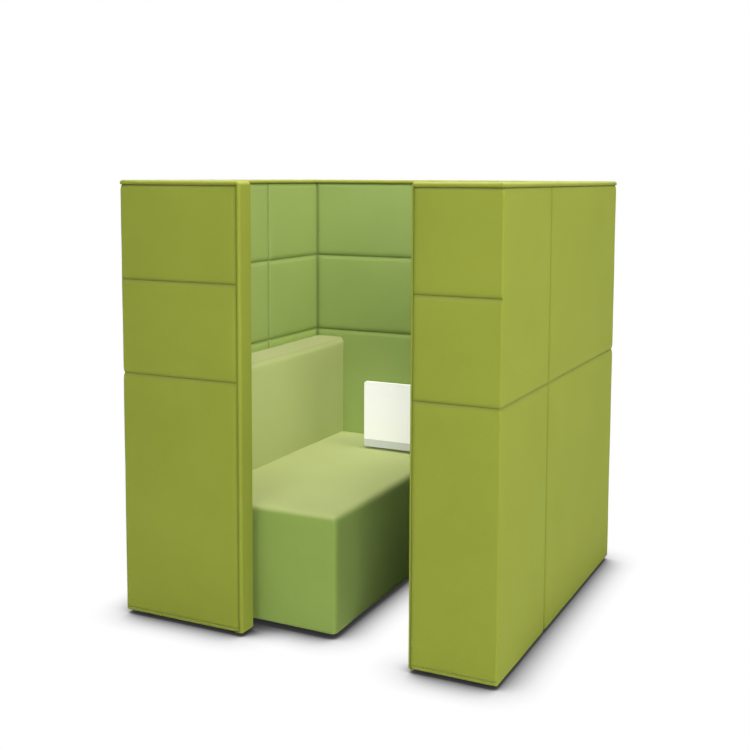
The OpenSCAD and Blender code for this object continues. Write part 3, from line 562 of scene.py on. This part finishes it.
def outer_path():
    """Stations once round the outside, from the entry's left side to its right side."""
    far_x, far_y = WIDE - CORNER, DEEP - CORNER
    left, side, back, right = SEAM_LEFT - CORNER, DEEP - 2 * CORNER, WIDE - 2 * CORNER, far_x - SEAM_RIGHT
    left_seam, right_seam = SIDE_SEAM - CORNER, far_y - SIDE_SEAM
    path = np.array([
        *straight((SEAM_LEFT, 0), (CORNER, 0), (0, -1), [0.0], [0.0, left], LEFT_FRONT),
        *arc(CORNER, CORNER, -math.pi / 2, LEFT_FRONT),
        *straight((0, CORNER), (0, far_y), (-1, 0), [left_seam], [0.0, left_seam, side], LEFT_SIDE),
        *arc(CORNER, far_y, math.pi, LEFT_SIDE),
        *straight((CORNER, DEEP), (far_x, DEEP), (0, 1), [back / 2], [0.0, back / 2, back], REAR),
        *arc(far_x, far_y, math.pi / 2, REAR),
        *straight((WIDE, far_y), (WIDE, CORNER), (1, 0), [right_seam], [0.0, right_seam, side], RIGHT_SIDE),
        *arc(far_x, CORNER, 0.0, RIGHT_SIDE),
        *straight((far_x, 0), (SEAM_RIGHT, 0), (0, -1), [right], [0.0, right], RIGHT_FRONT),
    ])
    path[path[:, FACE] == RIGHT_FRONT, TO_SEAM] += FAINT
    path[1:, RUN] = np.cumsum(np.hypot(np.diff(path[:, X]), np.diff(path[:, Y])))
    return path


def cut_at(labels, pieces):
    """First and last station of each piece, which shares its last one with the next piece."""
    for piece in pieces:
        stations = np.nonzero(labels == piece)[0]
        yield piece, slice(stations[0], min(stations[-1] + 2, len(labels)))


def outer_covers():
    """Padded covers of the walls' outsides, with two tiles to a side and three to each front."""
    path = outer_path()
    heights, insets = rows_for([BOTTOM_SEAM, LOW_SEAM, HIGH_SEAM, TOP_SEAM])
    turned = len(TURN_UNDER)
    heights = np.insert(heights, turned, [FLOOR_GAP + rise for rise in BOTTOM_ROWS])
    insets = np.insert(insets, turned, [0.0] * len(BOTTOM_ROWS))
    front_lines, side_lines = [LOW_SEAM, HIGH_SEAM, TOP_SEAM], [LOW_SEAM, TOP_SEAM]
    to_bottom = nearest(heights, [BOTTOM_SEAM])
    bottom = fall(to_bottom, BOTTOM_SHOULDER, BOTTOM_DIP)
    front = np.isin(path[:, FACE], (LEFT_FRONT, RIGHT_FRONT))[None, :]

    def by_face(on_front, on_side):
        return np.where(front, on_front[:, None], on_side[:, None])

    sunk = by_face(np.maximum(fall(nearest(heights, front_lines)), bottom),
                   fall(nearest(heights, side_lines), dip=SIDE_DIP))
    rise = by_face(swell(heights, [FLOOR_GAP, *front_lines]), swell(heights, [FLOOR_GAP, *side_lines]))
    to_level = by_face(np.minimum(to_bottom + FAINT, nearest(heights, front_lines)),
                       nearest(heights, side_lines))
    sink = 1 - (1 - sunk) * (1 - fall(path[:, TO_SEAM])[None, :])
    base = np.zeros((len(heights), len(path), 3))
    base[:, :, 0] = path[None, :, X]
    base[:, :, 1] = path[None, :, Y]
    base[:, :, 2] = heights[:, None]
    crown = CROWN * (1 - rise * path[None, :, SWELL])
    out = ripples(base, OUTER_WAVES, OUTER_SEED) * (1 - sink) - crown - SEAM_DIP * sink - insets[:, None]
    points = base.copy()
    points[:, :, 0] += path[None, :, NORMAL_X] * out
    points[:, :, 1] += path[None, :, NORMAL_Y] * out
    normals = grid_normals(points, True)
    to_upright = np.broadcast_to(path[None, :, TO_SEAM], to_level.shape)
    distance = np.minimum(to_level, to_upright)
    run = np.where(to_upright < to_level, heights[:, None], path[None, :, RUN])
    for face, part in cut_at(path[:, FACE], range(len(OUTER_WALLS))):
        wall = OUTER_WALLS[face]
        grids = [grid[:, part] for grid in (points, normals, distance, run)]
        obj = grid_object(f"{wall}_cover", *grids, flip=True)
        dress(obj, OUTER, "outer_fabric", f"{wall}_outer_panel")


outer_covers()

# boxing: one strip that climbs the free edges and runs along every top, cut at the walls' joints
UP = (0, 0, 1)
OVER_RETURN = (0, RETURN, 0)
FOOT_INSETS, FOOT_RISE = [14, 2.5], 3.0
BEND_STEPS, TURN_STEPS = 10, 8
# the strip's section: a crease at the sewn line, a rounded edge and a slightly sagging top
CREASE = [(5.5, 17.0), (3.4, 16.3), (2.0, 15.0), (1.1, 13.4), (0.6, 11.6)]
CREASE_DISTANCE = [0.0, 2.0, 4.0, 6.0, 8.0]
BOX_ROUND, BOX_ROUND_ROWS, BOX_EASE, ROUND_DISTANCE = 10.0, 8, 0.5, 30.0
BOX_SAG, BOX_LIFT, TOP_DISTANCE = 0.9, 0.2, 60.0
ACROSS_TOP = [0.25, 0.5, 0.75]


def between(a, b, count):
    """Evenly spaced points from a to b, both included."""
    return [tuple(p) for p in np.linspace(a, b, count)]


def free_edge(x, facing, band, wall, split):
    """Stations up a free edge and round its top, where the step split begins the top's piece."""
    edge, top = f"{wall}_edge", f"{wall}_top"
    heights = spread([FLOOR_GAP + FOOT_RISE, TOP_SEAM])
    out = [((x - facing * inset, 0, FLOOR_GAP), (facing, 0, 0), OVER_RETURN, edge) for inset in FOOT_INSETS]
    out += [((x, 0, z), (facing, 0, 0), OVER_RETURN, edge) for z in heights]
    for k in range(1, BEND_STEPS):
        turn = math.pi / 2 * k / BEND_STEPS
        out_x, out_z = facing * math.cos(turn), math.sin(turn)
        place = (x - facing * band + out_x * band, 0, TOP_SEAM + BAND * out_z)
        out.append((place, (out_x, 0, out_z), OVER_RETURN, edge if k < split else top))
    return out


def top_run(a, b, count, over, wall):
    """Stations along a straight top. over leads from its outer side to its inner side."""
    return [((x, y, TALL), UP, over, f"{wall}_top") for x, y in between(a, b, count)]


def top_corner(start, centre, angle, end, inner, counts, walls):
    """Stations round a corner of the top, that fan about its inner corner."""
    turns = [angle - math.pi / 2 * k / TURN_STEPS for k in range(TURN_STEPS + 1)]
    bend = [(centre[0] + CORNER * math.cos(t), centre[1] + CORNER * math.sin(t)) for t in turns]
    before = between(start, bend[0], counts[0])[1:-1]
    after = between(bend[-1], end, counts[1])[1:]
    split = len(before) + TURN_STEPS // 2
    out = []
    for k, (x, y) in enumerate(before + bend + after):
        wall = walls[0] if k < split else walls[1]
        out.append(((x, y, TALL), UP, (inner[0] - x, inner[1] - y, 0), f"{wall}_top"))
    return out


def box_stations():
    """Origin, way out, way across and piece of each station, from the left foot to the right foot.

    The whole numbers are counts of stations and, for a free edge, the step where its top begins.
    """
    far_x, far_y = WIDE - WALL, DEEP - WALL
    round_x, round_y = WIDE - CORNER, DEEP - CORNER
    return [
        *free_edge(LEFT_EDGE, 1, BAND, "left_return", 5),
        *top_run((SEAM_LEFT, 0), (WALL, 0), 18, OVER_RETURN, "left_return"),
        *top_corner((WALL, 0), (CORNER, CORNER), -math.pi / 2, (0, RETURN), (WALL, RETURN), (7, 6),
                    ("left_return", "left_wall")),
        *top_run((0, RETURN), (0, far_y), 40, (WALL, 0, 0), "left_wall")[1:],
        *top_corner((0, far_y), (CORNER, round_y), math.pi, (WALL, DEEP), (WALL, far_y), (7, 7),
                    ("left_wall", "back_wall")),
        *top_run((WALL, DEEP), (far_x, DEEP), 42, (0, -WALL, 0), "back_wall")[1:],
        *top_corner((far_x, DEEP), (round_x, round_y), math.pi / 2, (WIDE, far_y), (far_x, far_y), (7, 7),
                    ("back_wall", "right_wall")),
        *top_run((WIDE, far_y), (WIDE, RETURN), 40, (-WALL, 0, 0), "right_wall")[1:],
        *top_corner((WIDE, RETURN), (round_x, CORNER), 0.0, (far_x, 0), (far_x, RETURN), (6, 7),
                    ("right_wall", "right_return")),
        *top_run((far_x, 0), (SEAM_RIGHT, 0), 14, OVER_RETURN, "right_return")[1:],
        *free_edge(RIGHT_EDGE, -1, RIGHT_BAND, "right_return", 6)[::-1],
    ]


def boxing():
    """The strip, with a sewn line along both of its sides, narrower at the right free edge."""
    stations = box_stations()
    turn_in = []
    for t in np.linspace(0, math.pi / 2, BOX_ROUND_ROWS):
        ease = BOX_EASE * (1 - t / (math.pi / 2))
        turn_in.append((BOX_ROUND - BOX_ROUND * math.cos(t) + ease, BOX_ROUND - BOX_ROUND * math.sin(t)))
    near_side = CREASE + turn_in
    rows = len(near_side) * 2 + len(ACROSS_TOP)
    points = np.zeros((rows, len(stations), 3))
    for j, (origin, out, over, _) in enumerate(stations):
        origin, out, over = np.array(origin, float), np.array(out, float), np.array(over, float)
        length = np.linalg.norm(over)
        across = over / length
        depth = 1 - (1 - RIGHT_BAND / BAND) * max(0.0, -out[0])
        profile = list(near_side)
        for share in ACROSS_TOP:
            profile.append((BOX_ROUND + (length - 2 * BOX_ROUND) * share,
                            -BOX_SAG * math.sin(math.pi * share) + BOX_LIFT))
        profile += [(length - a, b) for a, b in reversed(near_side)]
        for i, (a, b) in enumerate(profile):
            points[i, j] = origin + across * a - out * b * depth
    points += ripples(points, BOXING_WAVES, BOXING_SEED)[..., None] * BOXING_WAVE_SHARE
    normals = grid_normals(points, False)
    steps = np.linalg.norm(np.diff(points[rows // 2], axis=0), axis=1)
    run = np.broadcast_to(np.concatenate([[0], np.cumsum(steps)])[None, :], points.shape[:2])
    half = np.concatenate([CREASE_DISTANCE, np.full(len(turn_in), ROUND_DISTANCE)])
    distance = np.concatenate([half, np.full(len(ACROSS_TOP), TOP_DISTANCE), half[::-1]])
    distance = np.broadcast_to(distance[:, None], points.shape[:2])
    labels = np.array([piece for _, _, _, piece in stations])
    for label, part in cut_at(labels, dict.fromkeys(labels)):
        grids = [grid[:, part] for grid in (points, normals, distance, run)]
        obj = grid_object(str(label), *grids, flip=False)
        dress(obj, OUTER, "outer_fabric", f"{label}_band")


boxing()


# linings inside the booth
def lining(wall, normal, fixed, span, uprights, seed):
    """The padded panel inside one wall. fixed is the wall's place, span its run along the other axis."""
    level_lines = [LOW_SEAM + INNER_RISE, HIGH_SEAM + INNER_RISE, TOP_SEAM]
    across = spread([span[0], *uprights, span[1]])
    heights, insets = rows_for([FLOOR_GAP, *level_lines])
    sunk = np.maximum(fall(nearest(across, uprights)), fall(nearest(across, span), dip=INNER_CORNER_DIP))
    sink = 1 - (1 - fall(nearest(heights, level_lines))[:, None]) * (1 - sunk[None, :])
    across = np.concatenate([[across[0] - LAP], across, [across[-1] + LAP]])
    sink = np.pad(sink, ((0, 0), (1, 1)), mode="edge")
    rise = swell(heights, [FLOOR_GAP, *level_lines])[:, None]
    rise = rise * swell(across, [span[0], *uprights, span[1]])[None, :]
    rise[:, [0, -1]] = rise[:, [1, -2]]
    base = np.array([[(fixed, a, z) if normal[0] else (a, fixed, z) for a in across] for z in heights])
    uneven = ripples(base, INNER_WAVES, seed) * (1 - sink)
    out = uneven - CROWN * (1 - rise) - SEAM_DIP * sink - insets[:, None] * INNER_TURN
    points = base + out[..., None] * np.array(normal, float)
    to_upright = nearest(across, [*span, *uprights])[None, :]
    to_level = nearest(heights, level_lines)[:, None]
    distance = np.minimum(to_level, to_upright)
    run = np.where(to_upright < to_level, heights[:, None], across[None, :])
    flip = normal[1] > normal[0]
    obj = grid_object(f"{wall}_lining", points, grid_normals(points, flip), distance, run, flip)
    dress(obj, INNER, "inner_fabric", f"{wall}_inner_panel")


lining("left_wall", (1, 0, 0), WALL, (RETURN, DEEP - WALL), [INNER_SIDE_SEAM], 11)
lining("right_wall", (-1, 0, 0), WIDE - WALL, (RETURN, DEEP - WALL), [INNER_SIDE_SEAM], 14)
lining("back_wall", (0, -1, 0), DEEP - WALL, (WALL, WIDE - WALL), [WIDE / 2], 17)
lining("left_return", (0, 1, 0), RETURN, (WALL, SEAM_LEFT), [], 20)
lining("right_return", (0, 1, 0), RETURN, (SEAM_RIGHT, WIDE - WALL), [], 23)

# cushions
BLOCK_STEP = 30.0
ARC_STEPS = 6
LEAST_RADIUS, RADIUS_LOSS = 2.5, 0.6
MIDDLE_GAP = 3.0
COVER_TOP_RADIUS, COVER_BOTTOM_RADIUS = 24.0, 5.0


def block_ring(low, high, inset, z, radius):
    """Points once round a rounded rectangle at the height z, set in from the block's sides."""
    radius = max(radius - RADIUS_LOSS * inset, LEAST_RADIUS)
    counts = [int((high[k] - low[k]) / BLOCK_STEP) for k in (1, 0)]
    x0, x1, y0, y1 = low[0] + inset, high[0] - inset, low[1] + inset, high[1] - inset
    corners = [(x1 - radius, y0 + radius, -90), (x1 - radius, y1 - radius, 0),
               (x0 + radius, y1 - radius, 90), (x0 + radius, y0 + radius, 180)]
    out = []
    for k, (cx, cy, start) in enumerate(corners):
        for i in range(ARC_STEPS + 1):
            t = math.radians(start + 90 * i / ARC_STEPS)
            out.append((cx + radius * math.cos(t), cy + radius * math.sin(t), z))
        nx, ny, _ = corners[(k + 1) % 4]
        t = math.radians(start + 90)
        ax, ay = cx + radius * math.cos(t), cy + radius * math.sin(t)
        bx, by = nx + radius * math.cos(t), ny + radius * math.sin(t)
        count = counts[k % 2]
        out += [(ax + (bx - ax) * i / count, ay + (by - ay) * i / count, z) for i in range(1, count)]
    return out


def soft_block(name, low, high, side_radius):
    """A closed block with rounded top, upright and bottom edges, for a cloth cover."""
    top, bottom = COVER_TOP_RADIUS, COVER_BOTTOM_RADIUS

    def ring(inset, z):
        return block_ring(low, high, inset, z, side_radius)

    quarter = [math.pi / 2 * k / ARC_STEPS for k in range(ARC_STEPS + 1)]
    z0, z1 = low[2], high[2]
    tall = z1 - top - z0 - bottom
    rise = int(tall / BLOCK_STEP)
    middle = min(high[0] - low[0], high[1] - low[1]) / 2 - MIDDLE_GAP
    inward = int((middle - top) / BLOCK_STEP)
    rings = [ring(bottom * (1 - math.sin(t)), z0 + bottom * (1 - math.cos(t))) for t in quarter]
    rings += [ring(0.0, z0 + bottom + tall * k / rise) for k in range(1, rise)]
    rings += [ring(top * (1 - math.cos(t)), z1 - top * (1 - math.sin(t))) for t in quarter]
    rings += [ring(top + (middle - top) * k / inward, z1) for k in range(1, inward + 1)]
    n = len(rings[0])
    faces = []
    for k in range(len(rings) - 1):
        for i in range(n):
            j = (i + 1) % n
            faces.append((k * n + i, k * n + j, (k + 1) * n + j, (k + 1) * n + i))
    faces.append(tuple(reversed(range(n))))
    faces.append(tuple(range((len(rings) - 1) * n, len(rings) * n)))
    return new_object(name, [point for one in rings for point in one], faces)


# the cloth simulation that fills a cover; its voxel and swell are in metres
COVER_VOXEL, COVER_SWELL = 0.012, 0.006
COVER_PRESSURE, COVER_FRAMES = 4.0, 20
COVER_STIFFNESS, COVER_BEND, COVER_QUALITY = 40, 4, 5
EASE_PASSES, EASE_SHARE = 3, 0.5


def read_points(mesh, key="co"):
    """The places or normals of a mesh's vertices."""
    values = np.zeros(len(mesh.vertices) * 3)
    mesh.vertices.foreach_get(key, values)
    return values.reshape(-1, 3)


def puff(obj):
    """Lets pressure fill the cover, then scales the movement to COVER_SWELL at the fullest point."""
    bpy.context.view_layer.objects.active = obj
    for other in bpy.context.selected_objects:
        other.select_set(False)
    obj.select_set(True)
    obj.data.remesh_voxel_size = COVER_VOXEL
    bpy.ops.object.voxel_remesh()
    before = read_points(obj.data)
    cloth = obj.modifiers.new("fill", "CLOTH")
    cloth.settings.use_pressure = True
    cloth.settings.uniform_pressure_force = COVER_PRESSURE
    cloth.settings.effector_weights.gravity = 0.0
    cloth.settings.tension_stiffness = COVER_STIFFNESS
    cloth.settings.compression_stiffness = COVER_STIFFNESS
    cloth.settings.bending_stiffness = COVER_BEND
    cloth.settings.quality = COVER_QUALITY
    cloth.point_cache.frame_start = 1
    cloth.point_cache.frame_end = COVER_FRAMES
    for step in range(1, COVER_FRAMES + 1):
        scene.frame_set(step)
    filled = obj.evaluated_get(bpy.context.evaluated_depsgraph_get())
    after = read_points(filled.to_mesh())
    filled.to_mesh_clear()
    obj.modifiers.remove(cloth)
    scene.frame_set(1)
    move = after - before
    move *= min(1.0, COVER_SWELL / np.linalg.norm(move, axis=1).max())
    obj.data.vertices.foreach_set("co", (before + move).ravel())
    obj.data.update()
    bpy.ops.object.shade_smooth()
    ease = obj.modifiers.new("ease", "SMOOTH")
    ease.iterations = EASE_PASSES
    ease.factor = EASE_SHARE
    bpy.ops.object.modifier_apply(modifier=ease.name)
    finer = obj.modifiers.new("finer", "SUBSURF")
    finer.levels = finer.render_levels = 1
    bpy.ops.object.modifier_apply(modifier=finer.name)


def relief(obj, size, amount, seed):
    """Slight unevenness of foam under cloth."""
    points = read_points(obj.data)
    normals = read_points(obj.data, "normal")
    lift = unevenness(points, size, seed, CUSHION_DRIFT) * amount
    obj.data.vertices.foreach_set("co", (points + normals * lift[:, None]).ravel())
    obj.data.update()


def cushion(name, low, high, side_radius, wave, seed, material, *nodes):
    """One cover without seams over a bench part. Its back and far end run into the walls."""
    obj = soft_block(name, low, high, side_radius)
    puff(obj)
    relief(obj, *wave, seed)
    count = len(obj.data.vertices)
    store_seams(obj, np.full(count, 1.0), np.zeros(count))
    dress(obj, material, "inner_fabric", *nodes)


# low and high corners of the covers before they are filled. Their free faces start a few millimetres
# inside the finished size, because the filling pushes them out, and the others run into the walls
COVER_REAR = DEEP - WALL + 16
SEAT_CORNERS = (WALL - 12, BENCH_END + 5, 18), (BENCH_FRONT - 4, COVER_REAR, SEAT_TOP - 5)
BACK_CORNERS = (WALL - 14, BENCH_END + 8, SEAT_TOP - 60), (BACK_FRONT - 4, COVER_REAR, BACK_TOP - 4)
SEAT_RADIUS, BACK_RADIUS = 11.0, 14.0
# size and height of the foam's waves in metres
SEAT_WAVE, BACK_WAVE = (0.28, 0.0016), (0.3, 0.0018)
cushion("bench_cushion", *SEAT_CORNERS, SEAT_RADIUS, SEAT_WAVE, 1, SEAT,
        "seat_cushion", "bench_side_panel", "bench_end_panel")
cushion("backrest_cover", *BACK_CORNERS, BACK_RADIUS, BACK_WAVE, 2, BACK,
        "backrest_cushion", "backrest_border")

# hard pieces get softened edges, each by its width in metres
EDGE_SEGMENTS, EDGE_ANGLE = 3, 40
EDGE_WIDTHS = {
    "table_leaf": 0.0016,
    "leaf_grip": 0.0022,
    "table_arms": 0.0008,
    "table_rail": 0.001,
    "table_wall_plate": 0.0008,
    "wall_glides": 0.0008,
    "bench_glides": 0.0008,
    "hinge_fixed_plates": 0.0003,
    "hinge_leaf_plates": 0.0003,
    "bracket_bolts": 0.0004,
    "hinge_screws": 0.0004,
}
for key, width in EDGE_WIDTHS.items():
    edge = frame["nodes"][key].modifiers.new("edge", "BEVEL")
    edge.width = width
    edge.segments = EDGE_SEGMENTS
    edge.limit_method = "ANGLE"
    edge.angle_limit = math.radians(EDGE_ANGLE)
    edge.harden_normals = True

# floor and surroundings
FLOOR_HALF = 9
FLOOR_ROUGHNESS, FLOOR_SPECULAR = 0.9, 0.1
# light that the floor throws back under the booth and around it, and where one fades to the other
BOUNCE_UNDER = (0.04, 0.04, 0.04)
BOUNCE_AROUND = (0.75, 0.75, 0.75)
BOUNCE_FRONT = 300.0
BOUNCE_FADE = (0.02, 0.08)
# the contact shadow painted on the floor where the camera sees it: its reach, and grey levels by how open
# the floor is
CONTACT_REACH, CONTACT_SAMPLES = 0.155, 24
PAINTED_CONTACT_SHADE = [(0.0, 0.02), (1.0, 1.0), (0.35, 0.05), (0.5, 0.16), (0.58, 0.37), (0.7, 0.61),
                 (0.85, 0.86)]
WORLD_COLOUR, WORLD_LEVEL = (1.0, 1.0, 1.0, 1.0), 0.05


def by_ray(tree, kinds, unseen, seen, output):
    """Shows the shader seen to the named kinds of ray, and unseen to all others."""
    path = tree.nodes.new("ShaderNodeLightPath")
    share = path.outputs[kinds[0]]
    for kind in kinds[1:]:
        share = math_node(tree, "MAXIMUM", share, path.outputs[kind])
    blend = tree.nodes.new("ShaderNodeMixShader")
    link(tree, share, blend.inputs[0])
    link(tree, unseen.outputs[0], blend.inputs[1])
    link(tree, seen.outputs[0], blend.inputs[2])
    link(tree, blend.outputs[0], tree.nodes[output].inputs["Surface"])


def squared_beyond(tree, value, low, high, size):
    """Square of the metres by which value lies outside low to high, on an axis of the booth's size."""
    middle = ((low + high) / 2 - size / 2) * MM
    aside = math_node(tree, "ABSOLUTE", math_node(tree, "SUBTRACT", value, middle))
    outside = math_node(tree, "SUBTRACT", aside, (high - low) / 2 * MM)
    return math_node(tree, "POWER", math_node(tree, "MAXIMUM", outside, 0.0), 2.0)


def make_floor():
    """A white floor with a contact shadow painted beside the booth where the camera sees it, and dim for
    its bounce.
    """
    h = FLOOR_HALF
    mesh = bpy.data.meshes.new("floor")
    mesh.from_pydata([(-h, -h, 0), (h, -h, 0), (h, h, 0), (-h, h, 0)], [], [(0, 1, 2, 3)])
    floor = bpy.data.objects.new("floor", mesh)
    scene.collection.objects.link(floor)
    material, t, shader = new_material("white floor")
    shader.inputs["Roughness"].default_value = FLOOR_ROUGHNESS
    shader.inputs["Specular IOR Level"].default_value = FLOOR_SPECULAR
    coords = t.nodes.new("ShaderNodeTexCoord")
    place = t.nodes.new("ShaderNodeSeparateXYZ")
    link(t, coords.outputs["Object"], place.inputs[0])
    squares = math_node(t, "ADD", squared_beyond(t, place.outputs[0], 0.0, WIDE, WIDE),
                        squared_beyond(t, place.outputs[1], BOUNCE_FRONT, DEEP, DEEP))
    around = smooth_step(t, math_node(t, "SQRT", squares), *BOUNCE_FADE)
    link(t, mix_colour(t, around, BOUNCE_UNDER, BOUNCE_AROUND), shader.inputs["Base Color"])
    # the camera sees the floor glowing white, with a contact shadow painted from how open the floor is
    openness = t.nodes.new("ShaderNodeAmbientOcclusion")
    openness.samples = CONTACT_SAMPLES
    openness.inputs["Distance"].default_value = CONTACT_REACH
    tone = t.nodes.new("ShaderNodeValToRGB")
    for k, (level, grey) in enumerate(PAINTED_CONTACT_SHADE):
        stop = tone.color_ramp.elements[k] if k < 2 else tone.color_ramp.elements.new(level)
        stop.position = level
        stop.color = (grey, grey, grey, 1.0)
    link(t, openness.outputs["AO"], tone.inputs[0])
    glow = t.nodes.new("ShaderNodeEmission")
    link(t, tone.outputs[0], glow.inputs["Color"])
    by_ray(t, ["Is Camera Ray", "Is Glossy Ray"], shader, glow, "Material Output")
    mesh.materials.append(material)


def make_world():
    """Faint light from all round, and plain white where the camera looks past the booth."""
    world = bpy.data.worlds.new("studio")
    scene.world = world
    world.use_nodes = True
    t = world.node_tree
    studio = t.nodes["Background"]
    studio.inputs["Color"].default_value = WORLD_COLOUR
    studio.inputs["Strength"].default_value = WORLD_LEVEL
    white = t.nodes.new("ShaderNodeBackground")
    white.inputs["Color"].default_value = (1.0, 1.0, 1.0, 1.0)
    by_ray(t, ["Is Camera Ray", "Is Transmission Ray", "Is Glossy Ray"], studio, white, "World Output")


make_floor()
make_world()

# lamps: azimuth from the entry side toward the right, height angle, distance, side length, power, colour
AIM = Vector((0.0, 0.0, 0.8))
LAMPS = {
    "right above": (80, 52, 7.0, 2.4, 250, (1.06, 1.0, 0.84)),
    "right": (95, 22, 8.0, 3.0, 55, (1.06, 1.0, 0.84)),
    "front steep": (2, 60, 7.0, 2.4, 176, (0.94, 1.0, 1.03)),
    "front": (4, 10, 8.0, 1.6, 48, (0.97, 1.0, 1.03)),
    "front right": (38, 20, 8.0, 3.0, 285, (0.96, 1.0, 1.0)),
    "overhead": (0, 89, 6.0, 1.6, 235, (1.05, 1.0, 1.06)),
    "back left": (225, 15, 8.0, 3.0, 300, (1.0, 1.0, 1.0)),
}
TABLE_LAMP_PLACE, TABLE_LAMP_AIM = (1.1, -5.4, 2.8), (-0.17, 0.35, 0.62)
TABLE_LAMP_POWER, TABLE_LAMP_ANGLE, TABLE_LAMP_SIZE = 560, 7, 0.15


def add_lamp(name, kind, place, aim, power):
    """A lamp turned toward the place aim."""
    light = bpy.data.lights.new(name, kind)
    light.energy = power
    lamp = bpy.data.objects.new(name, light)
    lamp.location = place
    lamp.rotation_euler = (Vector(aim) - lamp.location).to_track_quat("-Z", "Y").to_euler()
    scene.collection.objects.link(lamp)
    return lamp


for key, (azimuth, height, distance, side, power, colour) in LAMPS.items():
    turn, rise = math.radians(azimuth), math.radians(height)
    ray = Vector((math.sin(turn) * math.cos(rise), -math.cos(turn) * math.cos(rise), math.sin(rise)))
    lamp = add_lamp(key, "AREA", AIM + ray * distance, AIM, power)
    lamp.data.shape = "RECTANGLE"
    lamp.data.size = lamp.data.size_y = side
    lamp.data.color = colour
    lamp.visible_camera = False

table_lamp = add_lamp("table light", "SPOT", TABLE_LAMP_PLACE, TABLE_LAMP_AIM, TABLE_LAMP_POWER)
table_lamp.data.spot_size = math.radians(TABLE_LAMP_ANGLE)
table_lamp.data.spot_blend = 1.0
table_lamp.data.shadow_soft_size = TABLE_LAMP_SIZE

# camera, solved from the booth's straight edges in the photo; lengths in pixels, angles in radians
PICTURE, SENSOR = 750.0, 36.0
FOCAL, CENTRE_Y = 1124.25, 285.0
ROLL, PITCH, YAW = 0.00429, 0.09637, 0.44996
CAMERA_PLACE = (1.91225, -4.0542, 1.66696)
camera = bpy.data.objects.new("camera", bpy.data.cameras.new("camera"))
scene.collection.objects.link(camera)
scene.camera = camera
camera.location = CAMERA_PLACE
level_ahead = Vector((-math.sin(YAW), math.cos(YAW), 0))
level_right = Vector((math.cos(YAW), math.sin(YAW), 0))
level_up = Vector((0, 0, 1))
ahead = level_ahead * math.cos(PITCH) - level_up * math.sin(PITCH)
pitched_up = level_up * math.cos(PITCH) + level_ahead * math.sin(PITCH)
right = level_right * math.cos(ROLL) + pitched_up * math.sin(ROLL)
up = -level_right * math.sin(ROLL) + pitched_up * math.cos(ROLL)
camera.rotation_mode = "QUATERNION"
camera.rotation_quaternion = Matrix((right, up, -ahead)).transposed().to_quaternion()
camera.data.sensor_width = SENSOR
camera.data.lens = FOCAL * SENSOR / PICTURE
camera.data.shift_y = (CENTRE_Y - PICTURE / 2) / PICTURE
camera.data.clip_start, camera.data.clip_end = 0.05, 60.0

scene.view_settings.view_transform = "Standard"
